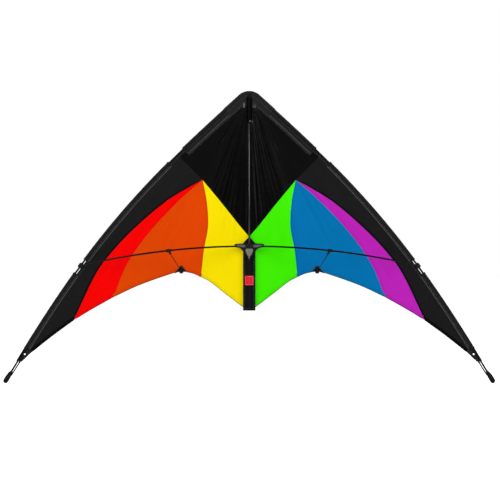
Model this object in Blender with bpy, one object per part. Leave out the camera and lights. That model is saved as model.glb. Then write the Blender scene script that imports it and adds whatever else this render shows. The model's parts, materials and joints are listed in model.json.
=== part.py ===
"""A two-line sport delta kite, standing upright in its own frame: nose up (+Z), wings along X, flyer's side facing -Y.

The origin is the middle of the flat front of the centre fitting. Everything is in metres.
"""

import math

import bmesh
import bpy
import numpy as np
from mathutils import Vector

# ---- driving dimensions -------------------------------------------------------------------------------------------

SPAN = 1.296  # tip cap to tip cap
HEIGHT = 0.770  # nose to tip caps

# The sail pattern below is drawn at these two sizes and is stretched to SPAN and HEIGHT.
PATTERN_SPAN = 1.296
PATTERN_HEIGHT = 0.770

SPINE_RADIUS = 0.0025
SPAR_RADIUS = 0.0020
SPREADER_RADIUS = 0.0020
STANDOFF_RADIUS = 0.00125
SLIDE_CLEARANCE = 0.00035  # round a rod that slides or turns in its fitting
GAP = 0.0003  # between pieces that touch

T_FRONT_Y = 0.0  # flat front face of the centre fitting
SPINE_Y = 0.0065
FOLD_Y = 0.0125  # the sail's middle surface at the spine, the spars and the wing hinge
FERRULE_WALL = 0.0005
SAIL_THICKNESS = 0.0008
SEAM_INSET = 0.00025  # each panel stops this far short of its seam line

BILLOW = 0.085  # how far the stand-offs hold the trailing edge behind the frame
BILLOW_RIDGE = 0.39  # share of the way from spine to spar where the billow is deepest
BILLOW_ROUND = 0.35  # how softly the ridge is rounded

EDGE_START = (0.0216, 0.4020)  # outer line of the leading edge, where the nose's flat top ends
EDGE_LENGTH = 1.020
EDGE_BEND_LENGTH = 0.964
EDGE_SLOPE_NOSE = 42.0  # degrees below horizontal
EDGE_SLOPE_TIP = 58.5
SLEEVE_BORE_RADIUS = SPAR_RADIUS + SLIDE_CLEARANCE + FERRULE_WALL + 0.00045
SLEEVE_HALF_DEPTH = SLEEVE_BORE_RADIUS + 0.0006
EDGE_TO_SPAR = SLEEVE_BORE_RADIUS + 0.0017  # from the sleeve's outer line in to the spar's centre
NOTCH_MARGIN = 0.0008  # from a cut end of the sleeve to the panel beside it
UPPER_NOTCH_RAMP = 0.0080  # length of the slanted cut from the band out into the gap
LOWER_NOTCH_RAMP = 0.0040
BAND_MARGIN = 0.0008  # from the band to the panel beside it

NOSE_FLAP_LENGTH = 0.062
BAND_UPPER = 0.0280  # outer line to the inner edge of the sleeve's band
BAND_LOWER = 0.0165
UPPER_GAP_Z = (0.2545, 0.2193)  # the sleeve is cut away between these heights
LOWER_GAP_Z = (-0.0370, -0.0705)
UPPER_GAP_HEM = 0.0082
LOWER_GAP_HEM = 0.0128
FERRULE_Z = 0.060
FERRULE_LENGTH = 0.060

CONNECTOR_Z = -0.0510
CONNECTOR_LENGTH = 0.0140
CONNECTOR_WIDTH = 0.0120
CONNECTOR_FRONT_Y = 0.0010
CONNECTOR_BACK_Y = FOLD_Y + SPAR_RADIUS + 0.0023
SPREADER_OUTER_Y = 0.0055
SPREADER_STUB = 0.0080  # rod beyond the middle of the leading-edge connector

T_RADIUS = 0.0135  # the centre fitting stays inside this radius round the wing hinge
T_BACK_Y = 0.0107
T_TOP_Z = 0.0090
T_LEG_Z = -0.0390
ARM_ROOT_RADIUS = 0.0138
ARM_TIP_U = 0.0375
ARM_TIP_RADIUS = 0.0044
SOCKET_U = 0.0160  # bottom of the spreader's socket

SPREADER_SAG = 0.0205
SPREADER_TILT = 55.0  # degrees that the bow leans out of the frame's plane, towards the flyer

STANDOFF_U = 0.2120
FOOT_UZ = (0.1805, -0.0665)
FOOT_RADIUS = 0.0064
FOOT_OFF_SAIL = 0.0012
CLIP_RADIUS = 0.0042
CLIP_LENGTH = 0.0130
CLIP_STEM_LENGTH = 0.0120
CLIP_STEM_RADIUS = 0.0030
CLIP_HOLD = 0.0085  # how far down the stem's socket the rod starts

SPINE_TOP_Z = 0.3990
SPINE_TAIL_Z = -0.1655
CAP_WALL = 0.0008
CAP_LENGTH = 0.0120
POCKET_HALF_WIDTH = 0.0075
POCKET_BOTTOM_Z = 0.3580
POCKET_TOP_Z = 0.4080

STRIP_HALF_WIDTH = 0.0163
STRIP_NECK_HALF_WIDTH = 0.0132
STRIP_TOP_Z = 0.0245
STRIP_SHOULDER_Z = 0.0060
STRIP_POCKET_Z = -0.0405
STRIP_TAIL_Z = -0.1690
STRIP_BACK_Y = 0.0118
STRIP_THICKNESS = 0.0008
STRIP_HUMP = 0.0095
LABEL_WIDTH = 0.0230
LABEL_HEIGHT = 0.0250
LABEL_Z = -0.0900
LABEL_THICKNESS = 0.0006

TIP_CAP_RADIUS = 0.0065
TIP_CAP_LENGTH = 0.0290
TIP_CAP_BORE = 0.0210
TIP_CAP_START_Z = -0.3347
TIP_PATCH_Y = (FOLD_Y + SPAR_RADIUS + 0.0008, FOLD_Y + SPAR_RADIUS + 0.0020)
TIP_PATCH_SHARE = 0.912  # of the sail beyond the sleeve's end
TIP_SLEEVE_END_Z = -0.2700
TIP_SAIL_END_Z = -0.2980
EYELET_INWARD = 0.0111
EYELET_Z = -0.2808
EYELET_RADIUS = 0.0046
TIP_PATCH_SKEW = 0.0058  # the tab is longer by this at the spar, so that its end is level
EYELET_HOLE = 0.0021
BUNGEE_RADIUS = 0.0013

# The sail's seams and edges, as (distance from the spine, height) on the pattern.
APEX = (0.1230, 0.1750)
SPINE_SEAM_END = (0.0, 0.0255)
INNER_END = (0.1280, -0.0810)
OUTER_END = (0.3590, -0.1340)
BLACK_END = (0.4630, -0.1950)
SEAM_CENTRE = [APEX, (0.074, 0.116), (0.024, 0.053), SPINE_SEAM_END]
SEAM_INNER = [APEX, (0.112, 0.116), (0.109, 0.053), (0.120, -0.010), INNER_END]
SEAM_OUTER = [APEX, (0.173, 0.132), (0.236, 0.069), (0.288, 0.006), (0.328, -0.057), OUTER_END]
SEAM_BLACK = [APEX, (0.160, 0.155), (0.222, 0.116), (0.296, 0.053), (0.357, -0.010), (0.404, -0.073), BLACK_END]
TRAILING_INNER = [(0.0, -0.1685), (0.0163, -0.1600), (0.061, -0.1268), (0.103, -0.0945), INNER_END]
TRAILING_MIDDLE = [INNER_END, (0.150, -0.072), (0.180, -0.067), (0.208, -0.073), (0.292, -0.103), OUTER_END]
TRAILING_OUTER = [OUTER_END, (0.419, -0.168), BLACK_END]
TRAILING_TIP = [BLACK_END, (0.524, -0.240), (0.587, -0.292)]
UPPER_SEAM_START_Z = 0.2400  # where the seam from the apex meets the leading edge, in the upper gap

ROUND_SIDES = 12
UP = HEIGHT / PATTERN_HEIGHT
ACROSS = SPAN / PATTERN_SPAN

BLACK = (0.012, 0.012, 0.013)
DARK_GREY = (0.03, 0.03, 0.032)
GREY = (0.12, 0.12, 0.12)
METAL = (0.6, 0.58, 0.5)
PANEL_COLOURS = {
    "left": {"inner": (0.90, 0.78, 0.0), "middle": (0.72, 0.07, 0.0), "outer": (0.90, 0.0, 0.0)},
    "right": {"inner": (0.06, 0.91, 0.0), "middle": (0.0, 0.16, 0.43), "outer": (0.50, 0.02, 0.50)},
}
PANEL_NAMES = {
    "left": {"inner": "yellow_panel", "middle": "orange_panel", "outer": "red_panel"},
    "right": {"inner": "green_panel", "middle": "blue_panel", "outer": "purple_panel"},
}


# ---- curves -------------------------------------------------------------------------------------------------------


def spread(point):
    return np.array([point[0] * ACROSS, point[1] * UP])


def smooth_line(points, count):
    """`count` points, evenly spaced, on a Catmull-Rom curve through the pattern's points."""
    knots = np.array([spread(p) for p in points])
    knots = np.vstack([2 * knots[0] - knots[1], knots, 2 * knots[-1] - knots[-2]])
    dense = []
    for i in range(1, len(knots) - 2):
        before, start, end, after = knots[i - 1 : i + 3]
        for t in np.linspace(0, 1, 24, endpoint=False):
            dense.append(
                0.5
                * (
                    2 * start
                    + (end - before) * t
                    + (2 * before - 5 * start + 4 * end - after) * t * t
                    + (3 * start - before - 3 * end + after) * t**3
                )
            )
    dense.append(knots[-2])
    return evenly(np.array(dense), count)


def lengths_along(points):
    steps = np.linalg.norm(np.diff(points, axis=0), axis=1)
    return np.concatenate([[0.0], np.cumsum(steps)])


def evenly(points, count):
    along = lengths_along(points)
    wanted = np.linspace(0, along[-1], count)
    return np.column_stack([np.interp(wanted, along, points[:, k]) for k in (0, 1)])


def edge_line():
    """The leading edge's outer line: its slope grows smoothly from the nose to the tip."""
    count = 240
    s = np.linspace(0, EDGE_LENGTH, count)
    share = np.clip(s / EDGE_BEND_LENGTH, 0, 1)
    eased = share * share * (3 - 2 * share)
    slope = np.radians(EDGE_SLOPE_NOSE + (EDGE_SLOPE_TIP - EDGE_SLOPE_NOSE) * eased)
    middle = (slope[1:] + slope[:-1]) / 2
    step = s[1] - s[0]
    u = EDGE_START[0] + np.concatenate([[0], np.cumsum(np.cos(middle)) * step])
    z = EDGE_START[1] - np.concatenate([[0], np.cumsum(np.sin(middle)) * step])
    return np.column_stack([u * ACROSS, z * UP])


EDGE = edge_line()
EDGE_S = lengths_along(EDGE)


def edge_at(s):
    return np.array([np.interp(s, EDGE_S, EDGE[:, k]) for k in (0, 1)])


def edge_direction(s):
    ahead = edge_at(s + 0.004) - edge_at(s - 0.004)
    return ahead / np.linalg.norm(ahead)


def edge_inward(s):
    along = edge_direction(s)
    return np.array([along[1], -along[0]])


def edge_offset(s, inward):
    return edge_at(s) + edge_inward(s) * inward


def s_at_height(z):
    """Distance along the edge at which the spar's centre is at this height of the pattern."""
    heights = [edge_offset(s, EDGE_TO_SPAR)[1] for s in EDGE_S[2:-2]]
    return float(np.interp(-z * UP, -np.array(heights), EDGE_S[2:-2]))


SPAR_LINE = np.array([edge_offset(s, EDGE_TO_SPAR) for s in EDGE_S[2:-2]])
UPPER_GAP = [s_at_height(z) for z in UPPER_GAP_Z]
LOWER_GAP = [s_at_height(z) for z in LOWER_GAP_Z]
CONNECTOR_S = s_at_height(CONNECTOR_Z)
TIP_CAP_S = s_at_height(TIP_CAP_START_Z)
SLEEVE_END_S = s_at_height(TIP_SLEEVE_END_Z)
SAIL_END_S = s_at_height(TIP_SAIL_END_Z)


def softened_tent(share):
    """0 at the spine and at the spar, 1 at the ridge, with the ridge rounded."""

    def raw(t):
        rise = t / BILLOW_RIDGE
        fall = (1 - t) / (1 - BILLOW_RIDGE)
        return (rise + fall - math.sqrt((rise - fall) ** 2 + BILLOW_ROUND**2)) / 2

    level = raw(0.0) * (1 - share) + raw(1.0) * share
    top = raw(BILLOW_RIDGE) - raw(0.0) * (1 - BILLOW_RIDGE) - raw(1.0) * BILLOW_RIDGE
    return (raw(share) - level) / top


def sail_y(u, z):
    """The sail is a cone from the nose: deeper towards the trailing edge, flat at the spine and the spars."""
    spar_u = float(np.interp(-z, -SPAR_LINE[:, 1], SPAR_LINE[:, 0]))
    share = min(max(u / spar_u, 0.0), 1.0)
    nose_z = EDGE_START[1] * UP
    foot_z = FOOT_UZ[1] * UP
    depth = BILLOW * max(nose_z - z, 0.0) / (nose_z - foot_z)
    return FOLD_Y + depth * softened_tent(share)


def on_sail(point, off=0.0):
    return Vector((point[0], sail_y(point[0], point[1]) + off, point[1]))


# ---- objects ------------------------------------------------------------------------------------------------------


def clear_scene():
    for obj in list(bpy.data.objects):
        bpy.data.objects.remove(obj, do_unlink=True)


def material(name, colour, roughness, metallic=0.0):
    made = bpy.data.materials.get(name) or bpy.data.materials.new(name)
    made.use_nodes = True
    shader = made.node_tree.nodes["Principled BSDF"]
    shader.inputs["Base Color"].default_value = (*colour, 1.0)
    shader.inputs["Roughness"].default_value = roughness
    shader.inputs["Metallic"].default_value = metallic
    return made


def pivot(name, location, parent=None):
    """An empty on a joint's axis, which carries the pieces that move with it."""
    made = bpy.data.objects.new(name, None)
    made.empty_display_size = 0.02
    bpy.context.scene.collection.objects.link(made)
    made.parent = parent
    place = Vector(location)
    made["world"] = list(place)
    made.location = place - (Vector(parent["world"]) if parent else Vector())
    return made


def build(name, verts, faces, finish, parent=None, smooth_angle=40.0):
    origin = Vector(parent["world"]) if parent else Vector()
    mesh = bpy.data.meshes.new(name)
    mesh.from_pydata([Vector(v) - origin for v in verts], [], faces)
    work = bmesh.new()
    work.from_mesh(mesh)
    bmesh.ops.recalc_face_normals(work, faces=work.faces)
    work.to_mesh(mesh)
    work.free()
    mesh.shade_smooth()
    mesh.set_sharp_from_angle(angle=math.radians(smooth_angle))
    made = bpy.data.objects.new(name, mesh)
    made.parent = parent
    bpy.context.scene.collection.objects.link(made)
    if finish:
        mesh.materials.append(finish)
    return made


def loft(rings):
    """Vertices and faces of a solid through rings of equal count, with both ends capped."""
    count = len(rings[0])
    verts = [point for ring in rings for point in ring]
    faces = []
    for i in range(len(rings) - 1):
        for k in range(count):
            after = (k + 1) % count
            faces.append((i * count + k, i * count + after, (i + 1) * count + after, (i + 1) * count + k))
    faces.append(tuple(range(count)))
    faces.append(tuple(range((len(rings) - 1) * count, len(rings) * count)))
    return verts, faces


def hollow_loft(outer, inner):
    """A tube: outer and inner rings of equal count, joined at both ends."""
    count = len(outer[0])
    rows = len(outer)
    verts = [point for ring in outer for point in ring] + [point for ring in inner for point in ring]
    base = rows * count
    faces = []
    for i in range(rows - 1):
        for k in range(count):
            after = (k + 1) % count
            a, b = i * count + k, i * count + after
            faces.append((a, b, b + count, a + count))
            faces.append((base + a, base + a + count, base + b + count, base + b))
    for row in (0, rows - 1):
        for k in range(count):
            a, b = row * count + k, row * count + (k + 1) % count
            faces.append((a, b, base + b, base + a))
    return verts, faces


def ring(centre, along, radius, sides=ROUND_SIDES, squash=1.0, side=None):
    """A circle square to `along`; `squash` stretches it along the direction nearest to Z."""
    along = Vector(along).normalized()
    first = along.cross(Vector((0, 1, 0)) if side is None else Vector(side)).normalized()
    second = along.cross(first).normalized()
    points = []
    for k in range(sides):
        angle = 2 * math.pi * (k + 0.5) / sides
        points.append(Vector(centre) + first * (radius * squash * math.cos(angle)) + second * (radius * math.sin(angle)))
    return points


def rod(name, points, radius, finish, parent, sides=ROUND_SIDES, side=None):
    rings = []
    for i, point in enumerate(points):
        along = points[min(i + 1, len(points) - 1)] - points[max(i - 1, 0)]
        rings.append(ring(point, along, radius, sides, side=side))
    return build(name, *loft(rings), finish, parent)


def round_solid(name, start, end, radius, parent=None, sides=16):
    """A plain cylinder, for a cutter."""
    along = Vector(end) - Vector(start)
    side = Vector((0, 0, 1)) if abs(along.normalized().z) < 0.9 else Vector((0, 1, 0))
    made = build(name, *loft([ring(start, along, radius, sides, side=side), ring(end, along, radius, sides, side=side)]),
                 None, parent)
    return made


def combine(target, other, operation):
    other.hide_render = True
    other.display_type = "WIRE"
    modifier = target.modifiers.new(operation.lower() + "_" + other.name, "BOOLEAN")
    modifier.operation = operation
    modifier.object = other
    modifier.solver = "EXACT"


def cut(target, *cutters):
    for cutter in cutters:
        combine(target, cutter, "DIFFERENCE")


def cup(name, closed_end, along, radius, bore, length, depth, finish, parent):
    """A cap: a round bar with a blind bore that opens at its far end. `along` points from the closed end."""
    closed_end = Vector(closed_end)
    along = Vector(along).normalized()
    rim = radius * 0.72
    outer = [
        ring(closed_end, along, rim),
        ring(closed_end + along * (radius - rim), along, radius),
        ring(closed_end + along * length, along, radius),
        ring(closed_end + along * length, along, bore),
        ring(closed_end + along * (length - depth), along, bore),
    ]
    return build(name, *loft(outer), finish, parent, smooth_angle=50.0)


# ---- centre: spine, pocket, fitting, strip and label ---------------------------------------------------------------


def spine_pieces(finishes):
    top = Vector((0, SPINE_Y, SPINE_TOP_Z * UP))
    tail = Vector((0, SPINE_Y, SPINE_TAIL_Z * UP))
    rod("spine_rod", [top, tail], SPINE_RADIUS, finishes["glass"], None)
    bore = SPINE_RADIUS + SLIDE_CLEARANCE
    for name, end, along in (("spine_top_cap", top, (0, 0, -1)), ("spine_tail_cap", tail, (0, 0, 1))):
        closed = end - Vector(along) * (CAP_WALL + GAP)
        cup(name, closed, along, bore + CAP_WALL, bore, CAP_LENGTH, CAP_LENGTH - CAP_WALL, finishes["vinyl"], None)


def nose_pocket(finishes):
    back = FOLD_Y - SAIL_THICKNESS / 2 - GAP
    front = SPINE_Y - SPINE_RADIUS - SLIDE_CLEARANCE - CAP_WALL - GAP - 0.0008
    half = POCKET_HALF_WIDTH
    section = [(-half, back), (half, back), (half, SPINE_Y), (half * 0.55, front), (-half * 0.55, front), (-half, SPINE_Y)]
    rings = [[Vector((x, y, z * UP)) for x, y in section] for z in (POCKET_BOTTOM_Z, POCKET_TOP_Z)]
    pocket = build("nose_pocket", *loft(rings), finishes["webbing"])
    radius = SPINE_RADIUS + SLIDE_CLEARANCE + CAP_WALL + GAP
    below = (0, SPINE_Y, POCKET_BOTTOM_Z * UP - 0.01)
    above = (0, SPINE_Y, SPINE_TOP_Z * UP + CAP_WALL + 2 * GAP)
    cut(pocket, round_solid("nose_pocket_bore", below, above, radius))


def t_width(z):
    """Half-width of the centre fitting at a height: a head between the arms, then a leg that narrows."""
    heights = [T_LEG_Z, -0.0285, -0.0070, 0.0060, T_TOP_Z]
    widths = [0.0042, 0.0050, 0.0112, 0.0112, 0.0060]
    return float(np.interp(z, heights, widths))


def centre_fitting(finishes):
    depths = [T_FRONT_Y, 0.0015, 0.0040, 0.0075, T_BACK_Y]
    rings = []
    for z in (T_TOP_Z, 0.0060, -0.0070, -0.0180, -0.0285, T_LEG_Z):
        right = []
        for y in depths:
            reach = math.sqrt(T_RADIUS**2 - (FOLD_Y - y) ** 2)
            right.append((min(reach, t_width(z)), y))
        section = right + [(-x, y) for x, y in reversed(right)]
        rings.append([Vector((x, y, z)) for x, y in section])
    fitting = build("centre_fitting", *loft(rings), finishes["rubber"])
    radius = SPINE_RADIUS + SLIDE_CLEARANCE
    cut(fitting, round_solid("centre_fitting_bore", (0, SPINE_Y, T_LEG_Z - 0.01), (0, SPINE_Y, T_TOP_Z + 0.01), radius))


def strip_front(u, height):
    return STRIP_BACK_Y - STRIP_THICKNESS - height * (0.5 + 0.5 * math.cos(math.pi * min(abs(u) / STRIP_HALF_WIDTH, 1.0)))


def tail_strip(finishes):
    """The reinforcing strip at the foot of the spine: flat behind the centre fitting, a pocket round the spine below it."""
    stations = [
        (STRIP_TOP_Z, 0.0008, 0.0),
        (STRIP_SHOULDER_Z, STRIP_NECK_HALF_WIDTH, 0.0),
        (STRIP_POCKET_Z + 0.0003, STRIP_NECK_HALF_WIDTH, 0.0),
        (STRIP_POCKET_Z, STRIP_HALF_WIDTH, STRIP_HUMP),
        (STRIP_TAIL_Z, STRIP_HALF_WIDTH, STRIP_HUMP),
    ]
    rings = []
    for z, half, hump in stations:
        fixed = z in (STRIP_TOP_Z, STRIP_SHOULDER_Z, STRIP_POCKET_Z, STRIP_POCKET_Z + 0.0003)
        height = z if fixed else z * UP
        across = np.linspace(-half, half, 13)
        section = [Vector((x, strip_front(x, hump), height)) for x in across]
        section += [Vector((half, STRIP_BACK_Y, height)), Vector((-half, STRIP_BACK_Y, height))]
        rings.append(section)
    strip = build("tail_strip", *loft(rings), finishes["webbing"])
    radius = SPINE_RADIUS + SLIDE_CLEARANCE + CAP_WALL + GAP
    ends = ((0, SPINE_Y, STRIP_TAIL_Z * UP - 0.01), (0, SPINE_Y, STRIP_POCKET_Z + 0.01))
    cut(strip, round_solid("tail_strip_bore", *ends, radius))


def woven_label(finishes):
    rings = []
    middle = LABEL_Z * UP
    for z in (middle + LABEL_HEIGHT / 2, middle - LABEL_HEIGHT / 2):
        across = np.linspace(-LABEL_WIDTH / 2, LABEL_WIDTH / 2, 11)
        front = [Vector((x, strip_front(x, STRIP_HUMP) - GAP - LABEL_THICKNESS, z)) for x in across]
        back = [Vector((x, strip_front(x, STRIP_HUMP) - GAP, z)) for x in reversed(across)]
        rings.append(front + back)
    build("woven_label", *loft(rings), finishes["label"])


# ---- wings --------------------------------------------------------------------------------------------------------


class Wing:
    """One side of the kite. Points are worked out for the right wing; the left one has x turned round."""

    def __init__(self, side):
        self.side = side
        self.sign = 1.0 if side == "right" else -1.0
        self.fold = pivot(side + "_wing_fold", (0, FOLD_Y, 0))

    def turn(self, verts):
        return [Vector((v[0] * self.sign, v[1], v[2])) for v in verts]

    def name(self, piece):
        return self.side + "_" + piece

    def add(self, piece, shape, finish, parent=None, smooth_angle=40.0):
        verts, faces = shape
        return build(self.name(piece), self.turn(verts), faces, finish, parent or self.fold, smooth_angle)

    def cylinder(self, piece, start, end, radius, parent=None):
        start, end = self.turn([start, end])
        return round_solid(self.name(piece), start, end, radius, parent or self.fold)


def inner_side(grid, i, j, di, dj):
    here, there = grid[i][j], grid[i + di][j + dj]
    step = there - here
    length = np.linalg.norm(step)
    return here + step * (min(SEAM_INSET, 0.35 * length) / length)


def panel_grid(left, right, top, bottom):
    """Points between four edge lines (a Coons patch), each edge drawn in by the seam's inset."""
    rows, columns = len(left), len(top)
    grid = [[None] * columns for _ in range(rows)]
    for i in range(rows):
        v = i / (rows - 1)
        for j in range(columns):
            t = j / (columns - 1)
            sides = (1 - t) * left[i] + t * right[i] + (1 - v) * top[j] + v * bottom[j]
            corners = (1 - v) * ((1 - t) * left[0] + t * right[0]) + v * ((1 - t) * left[-1] + t * right[-1])
            grid[i][j] = sides - corners
    drawn = [list(row) for row in grid]
    for i in range(rows):
        drawn[i][0] = inner_side(grid, i, 0, 0, 1)
        drawn[i][-1] = inner_side(grid, i, columns - 1, 0, -1)
    grid = [list(row) for row in drawn]
    for j in range(columns):
        drawn[0][j] = inner_side(grid, 0, j, 1, 0)
        drawn[-1][j] = inner_side(grid, rows - 1, j, -1, 0)
    return drawn


def thin_shell(grid, thickness, off=0.0):
    """A closed shell of even depth on the sail's surface."""
    rows, columns = len(grid), len(grid[0])
    layers = [off - thickness / 2, off + thickness / 2]
    verts = [on_sail(point, layer) for layer in layers for row in grid for point in row]
    size = rows * columns
    faces = []
    for i in range(rows - 1):
        for j in range(columns - 1):
            a = i * columns + j
            face = (a, a + 1, a + columns + 1, a + columns)
            faces.append(face)
            faces.append(tuple(size + k for k in reversed(face)))
    border = [j for j in range(columns)]
    border += [i * columns + columns - 1 for i in range(1, rows)]
    border += [(rows - 1) * columns + j for j in range(columns - 2, -1, -1)]
    border += [i * columns for i in range(rows - 2, 0, -1)]
    for k, a in enumerate(border):
        b = border[(k + 1) % len(border)]
        faces.append((a, b, size + b, size + a))
    return verts, faces


def straight(start, end, count):
    return [start + (end - start) * t for t in np.linspace(0, 1, count)]


def hem_points(stretches):
    """Points on the panels' outer border; each stretch is (start, end, count, width of the band beside it)."""
    points = []
    for start, end, count, band in stretches:
        points += [edge_offset(s, band + BAND_MARGIN) for s in np.linspace(start, end, count)]
    return points


def seam(points, count, skip=0.0):
    """A seam from the apex on, leaving out a first share where the panel is too narrow to sew."""
    fine = smooth_line(points, 400)
    return list(evenly(fine[int(skip * 400) :], count))


def sail_panels(wing, finishes):
    rows = 13
    skip = 0.03
    spine_edge = np.array([0.0009, 0.0])
    start_s = s_at_height(UPPER_SEAM_START_Z)
    edge_top = edge_offset(start_s, UPPER_GAP_HEM)
    apex = spread(APEX)
    upper_seam = straight(edge_top, apex, 4)
    centre_seam = seam(SEAM_CENTRE, 9)
    inner = seam(SEAM_INNER, rows, skip)
    outer = seam(SEAM_OUTER, rows, skip)
    black = seam(SEAM_BLACK, rows, skip)

    # Top black panel: spine, nose, leading edge, then the seams from the spine up to the leading edge.
    nose_z = (EDGE_START[1] - 0.022) * UP
    spine_side = [spine_edge + np.array([0, z]) for z in np.linspace(nose_z, SPINE_SEAM_END[1] * UP, rows)]
    below = centre_seam[::-1] + upper_seam[::-1][1:]
    below[0] = spine_side[-1]
    notch_top = UPPER_GAP[0] + NOTCH_MARGIN
    edge_side = hem_points([(0.024, notch_top - GAP, rows - 3, BAND_UPPER), (notch_top + UPPER_NOTCH_RAMP, start_s, 3, UPPER_GAP_HEM)])
    top = straight(spine_side[0], edge_side[0], len(below))
    grid = panel_grid(spine_side, edge_side, top, below)
    wing.add("top_panel", thin_shell(grid, SAIL_THICKNESS), finishes["black sail"])

    # Edge black panel: from the upper gap down the leading edge to the tip.
    trailing = list(smooth_line(TRAILING_TIP, 6))
    inside = upper_seam[1:] + black + trailing[1:]
    low_end, high_start, high_end = UPPER_GAP[1] - NOTCH_MARGIN, LOWER_GAP[0] + NOTCH_MARGIN, LOWER_GAP[1] - NOTCH_MARGIN
    stretches = [
        (start_s + 0.004, low_end - GAP, 3, UPPER_GAP_HEM),
        (low_end + GAP, high_start - GAP, 9, BAND_LOWER),
        (high_start + LOWER_NOTCH_RAMP, high_end - LOWER_NOTCH_RAMP, 3, LOWER_GAP_HEM),
        (high_end + GAP, SLEEVE_END_S + 2 * NOTCH_MARGIN, 6, BAND_LOWER + 4 * GAP),
    ]
    outside = hem_points(stretches)
    columns = 4
    grid = panel_grid(inside, outside, straight(inside[0], outside[0], columns), straight(inside[-1], outside[-1], columns))
    wing.add("edge_panel", thin_shell(grid, SAIL_THICKNESS), finishes["black sail"])

    # Three coloured panels that meet at the apex.
    names = PANEL_NAMES[wing.side]
    tail_z = TRAILING_INNER[0][1] * UP
    inner_full = [apex] + inner
    spine_low = [spine_edge + np.array([0, z]) for z in np.linspace(SPINE_SEAM_END[1] * UP, tail_z, len(inner_full))]
    bottom = list(smooth_line(TRAILING_INNER, 9))
    bottom[0] = spine_low[-1]
    centre_side = list(centre_seam)
    centre_side[-1] = spine_low[0]
    grid = panel_grid(spine_low, inner_full, centre_side[::-1], bottom)
    wing.add(names["inner"], thin_shell(grid, SAIL_THICKNESS), finishes["inner " + wing.side])

    bottom = list(smooth_line(TRAILING_MIDDLE, 11))
    top = straight(inner[0], outer[0], 11)
    wing.add(names["middle"], thin_shell(panel_grid(inner, outer, top, bottom), SAIL_THICKNESS),
             finishes["middle " + wing.side])

    bottom = list(smooth_line(TRAILING_OUTER, 5))
    top = straight(outer[0], black[0], 5)
    wing.add(names["outer"], thin_shell(panel_grid(outer, black, top, bottom), SAIL_THICKNESS),
             finishes["outer " + wing.side])


def sleeve_section(s, band):
    """Outer and inner ring of a sleeve: a tunnel round the spar with a band that lies on the sail."""
    spar = edge_offset(s, EDGE_TO_SPAR)
    inward = edge_inward(s)
    into = Vector((inward[0], 0, inward[1]))
    centre = Vector((spar[0], FOLD_Y, spar[1]))
    reach = EDGE_TO_SPAR
    outer, inner = [], []
    for k in range(ROUND_SIDES):
        angle = 2 * math.pi * (k + 0.5) / ROUND_SIDES
        a, b = math.cos(angle), math.sin(angle)
        outer.append(centre + into * (reach * a) + Vector((0, SLEEVE_HALF_DEPTH * b, 0)))
        inner.append(centre + into * (SLEEVE_BORE_RADIUS * a) + Vector((0, SLEEVE_BORE_RADIUS * b, 0)))
    rim = edge_offset(s, band)
    outer[0] = on_sail(rim, SAIL_THICKNESS / 2)
    outer[-1] = on_sail(rim, -SAIL_THICKNESS / 2)
    return outer, inner


def sleeves(wing, finishes):
    nose_end = NOSE_FLAP_LENGTH
    spans = [
        ("nose_flap", 0.0035, nose_end, 0.0, "webbing"),
        ("upper_sleeve", nose_end + GAP, UPPER_GAP[0], BAND_UPPER, "sleeve"),
        ("middle_sleeve", UPPER_GAP[1], LOWER_GAP[0], BAND_LOWER, "sleeve"),
        ("lower_sleeve", LOWER_GAP[1], SLEEVE_END_S, BAND_LOWER, "sleeve"),
    ]
    for name, start, end, band, finish in spans:
        count = max(3, int((end - start) / 0.035) + 1)
        outer, inner = [], []
        for s in np.linspace(start, end, count):
            width = band
            if not band:
                room = (edge_at(s)[0] - POCKET_HALF_WIDTH - 0.0035) / max(-edge_inward(s)[0], 0.3)
                width = min(BAND_UPPER, room)
            a, b = sleeve_section(s, width)
            outer.append(a)
            inner.append(b)
        wing.add(name, hollow_loft(outer, inner), finishes[finish])


def spar_points(start, end):
    count = max(2, int((end - start) / 0.035) + 1)
    points = []
    for s in np.linspace(start, end, count):
        u, z = edge_offset(s, EDGE_TO_SPAR)
        points.append(Vector((u, FOLD_Y, z)))
    return points


def spars(wing, finishes):
    joint = s_at_height(FERRULE_Z)
    rod_end = TIP_CAP_S + TIP_CAP_BORE - GAP
    half = FERRULE_LENGTH / 2
    for name, start, end in (("upper_spar", 0.0055, joint - GAP / 2), ("lower_spar", joint + GAP / 2, rod_end)):
        rod(wing.name(name), wing.turn(spar_points(start, end)), SPAR_RADIUS, finishes["glass"], wing.fold)
    bore = SPAR_RADIUS + SLIDE_CLEARANCE
    outer, inner = [], []
    points = spar_points(joint - half, joint + half)
    for i, point in enumerate(points):
        along = points[min(i + 1, len(points) - 1)] - points[max(i - 1, 0)]
        outer.append(ring(point, along, bore + FERRULE_WALL))
        inner.append(ring(point, along, bore))
    wing.add("spar_ferrule", hollow_loft(outer, inner), finishes["metal"])


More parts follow.
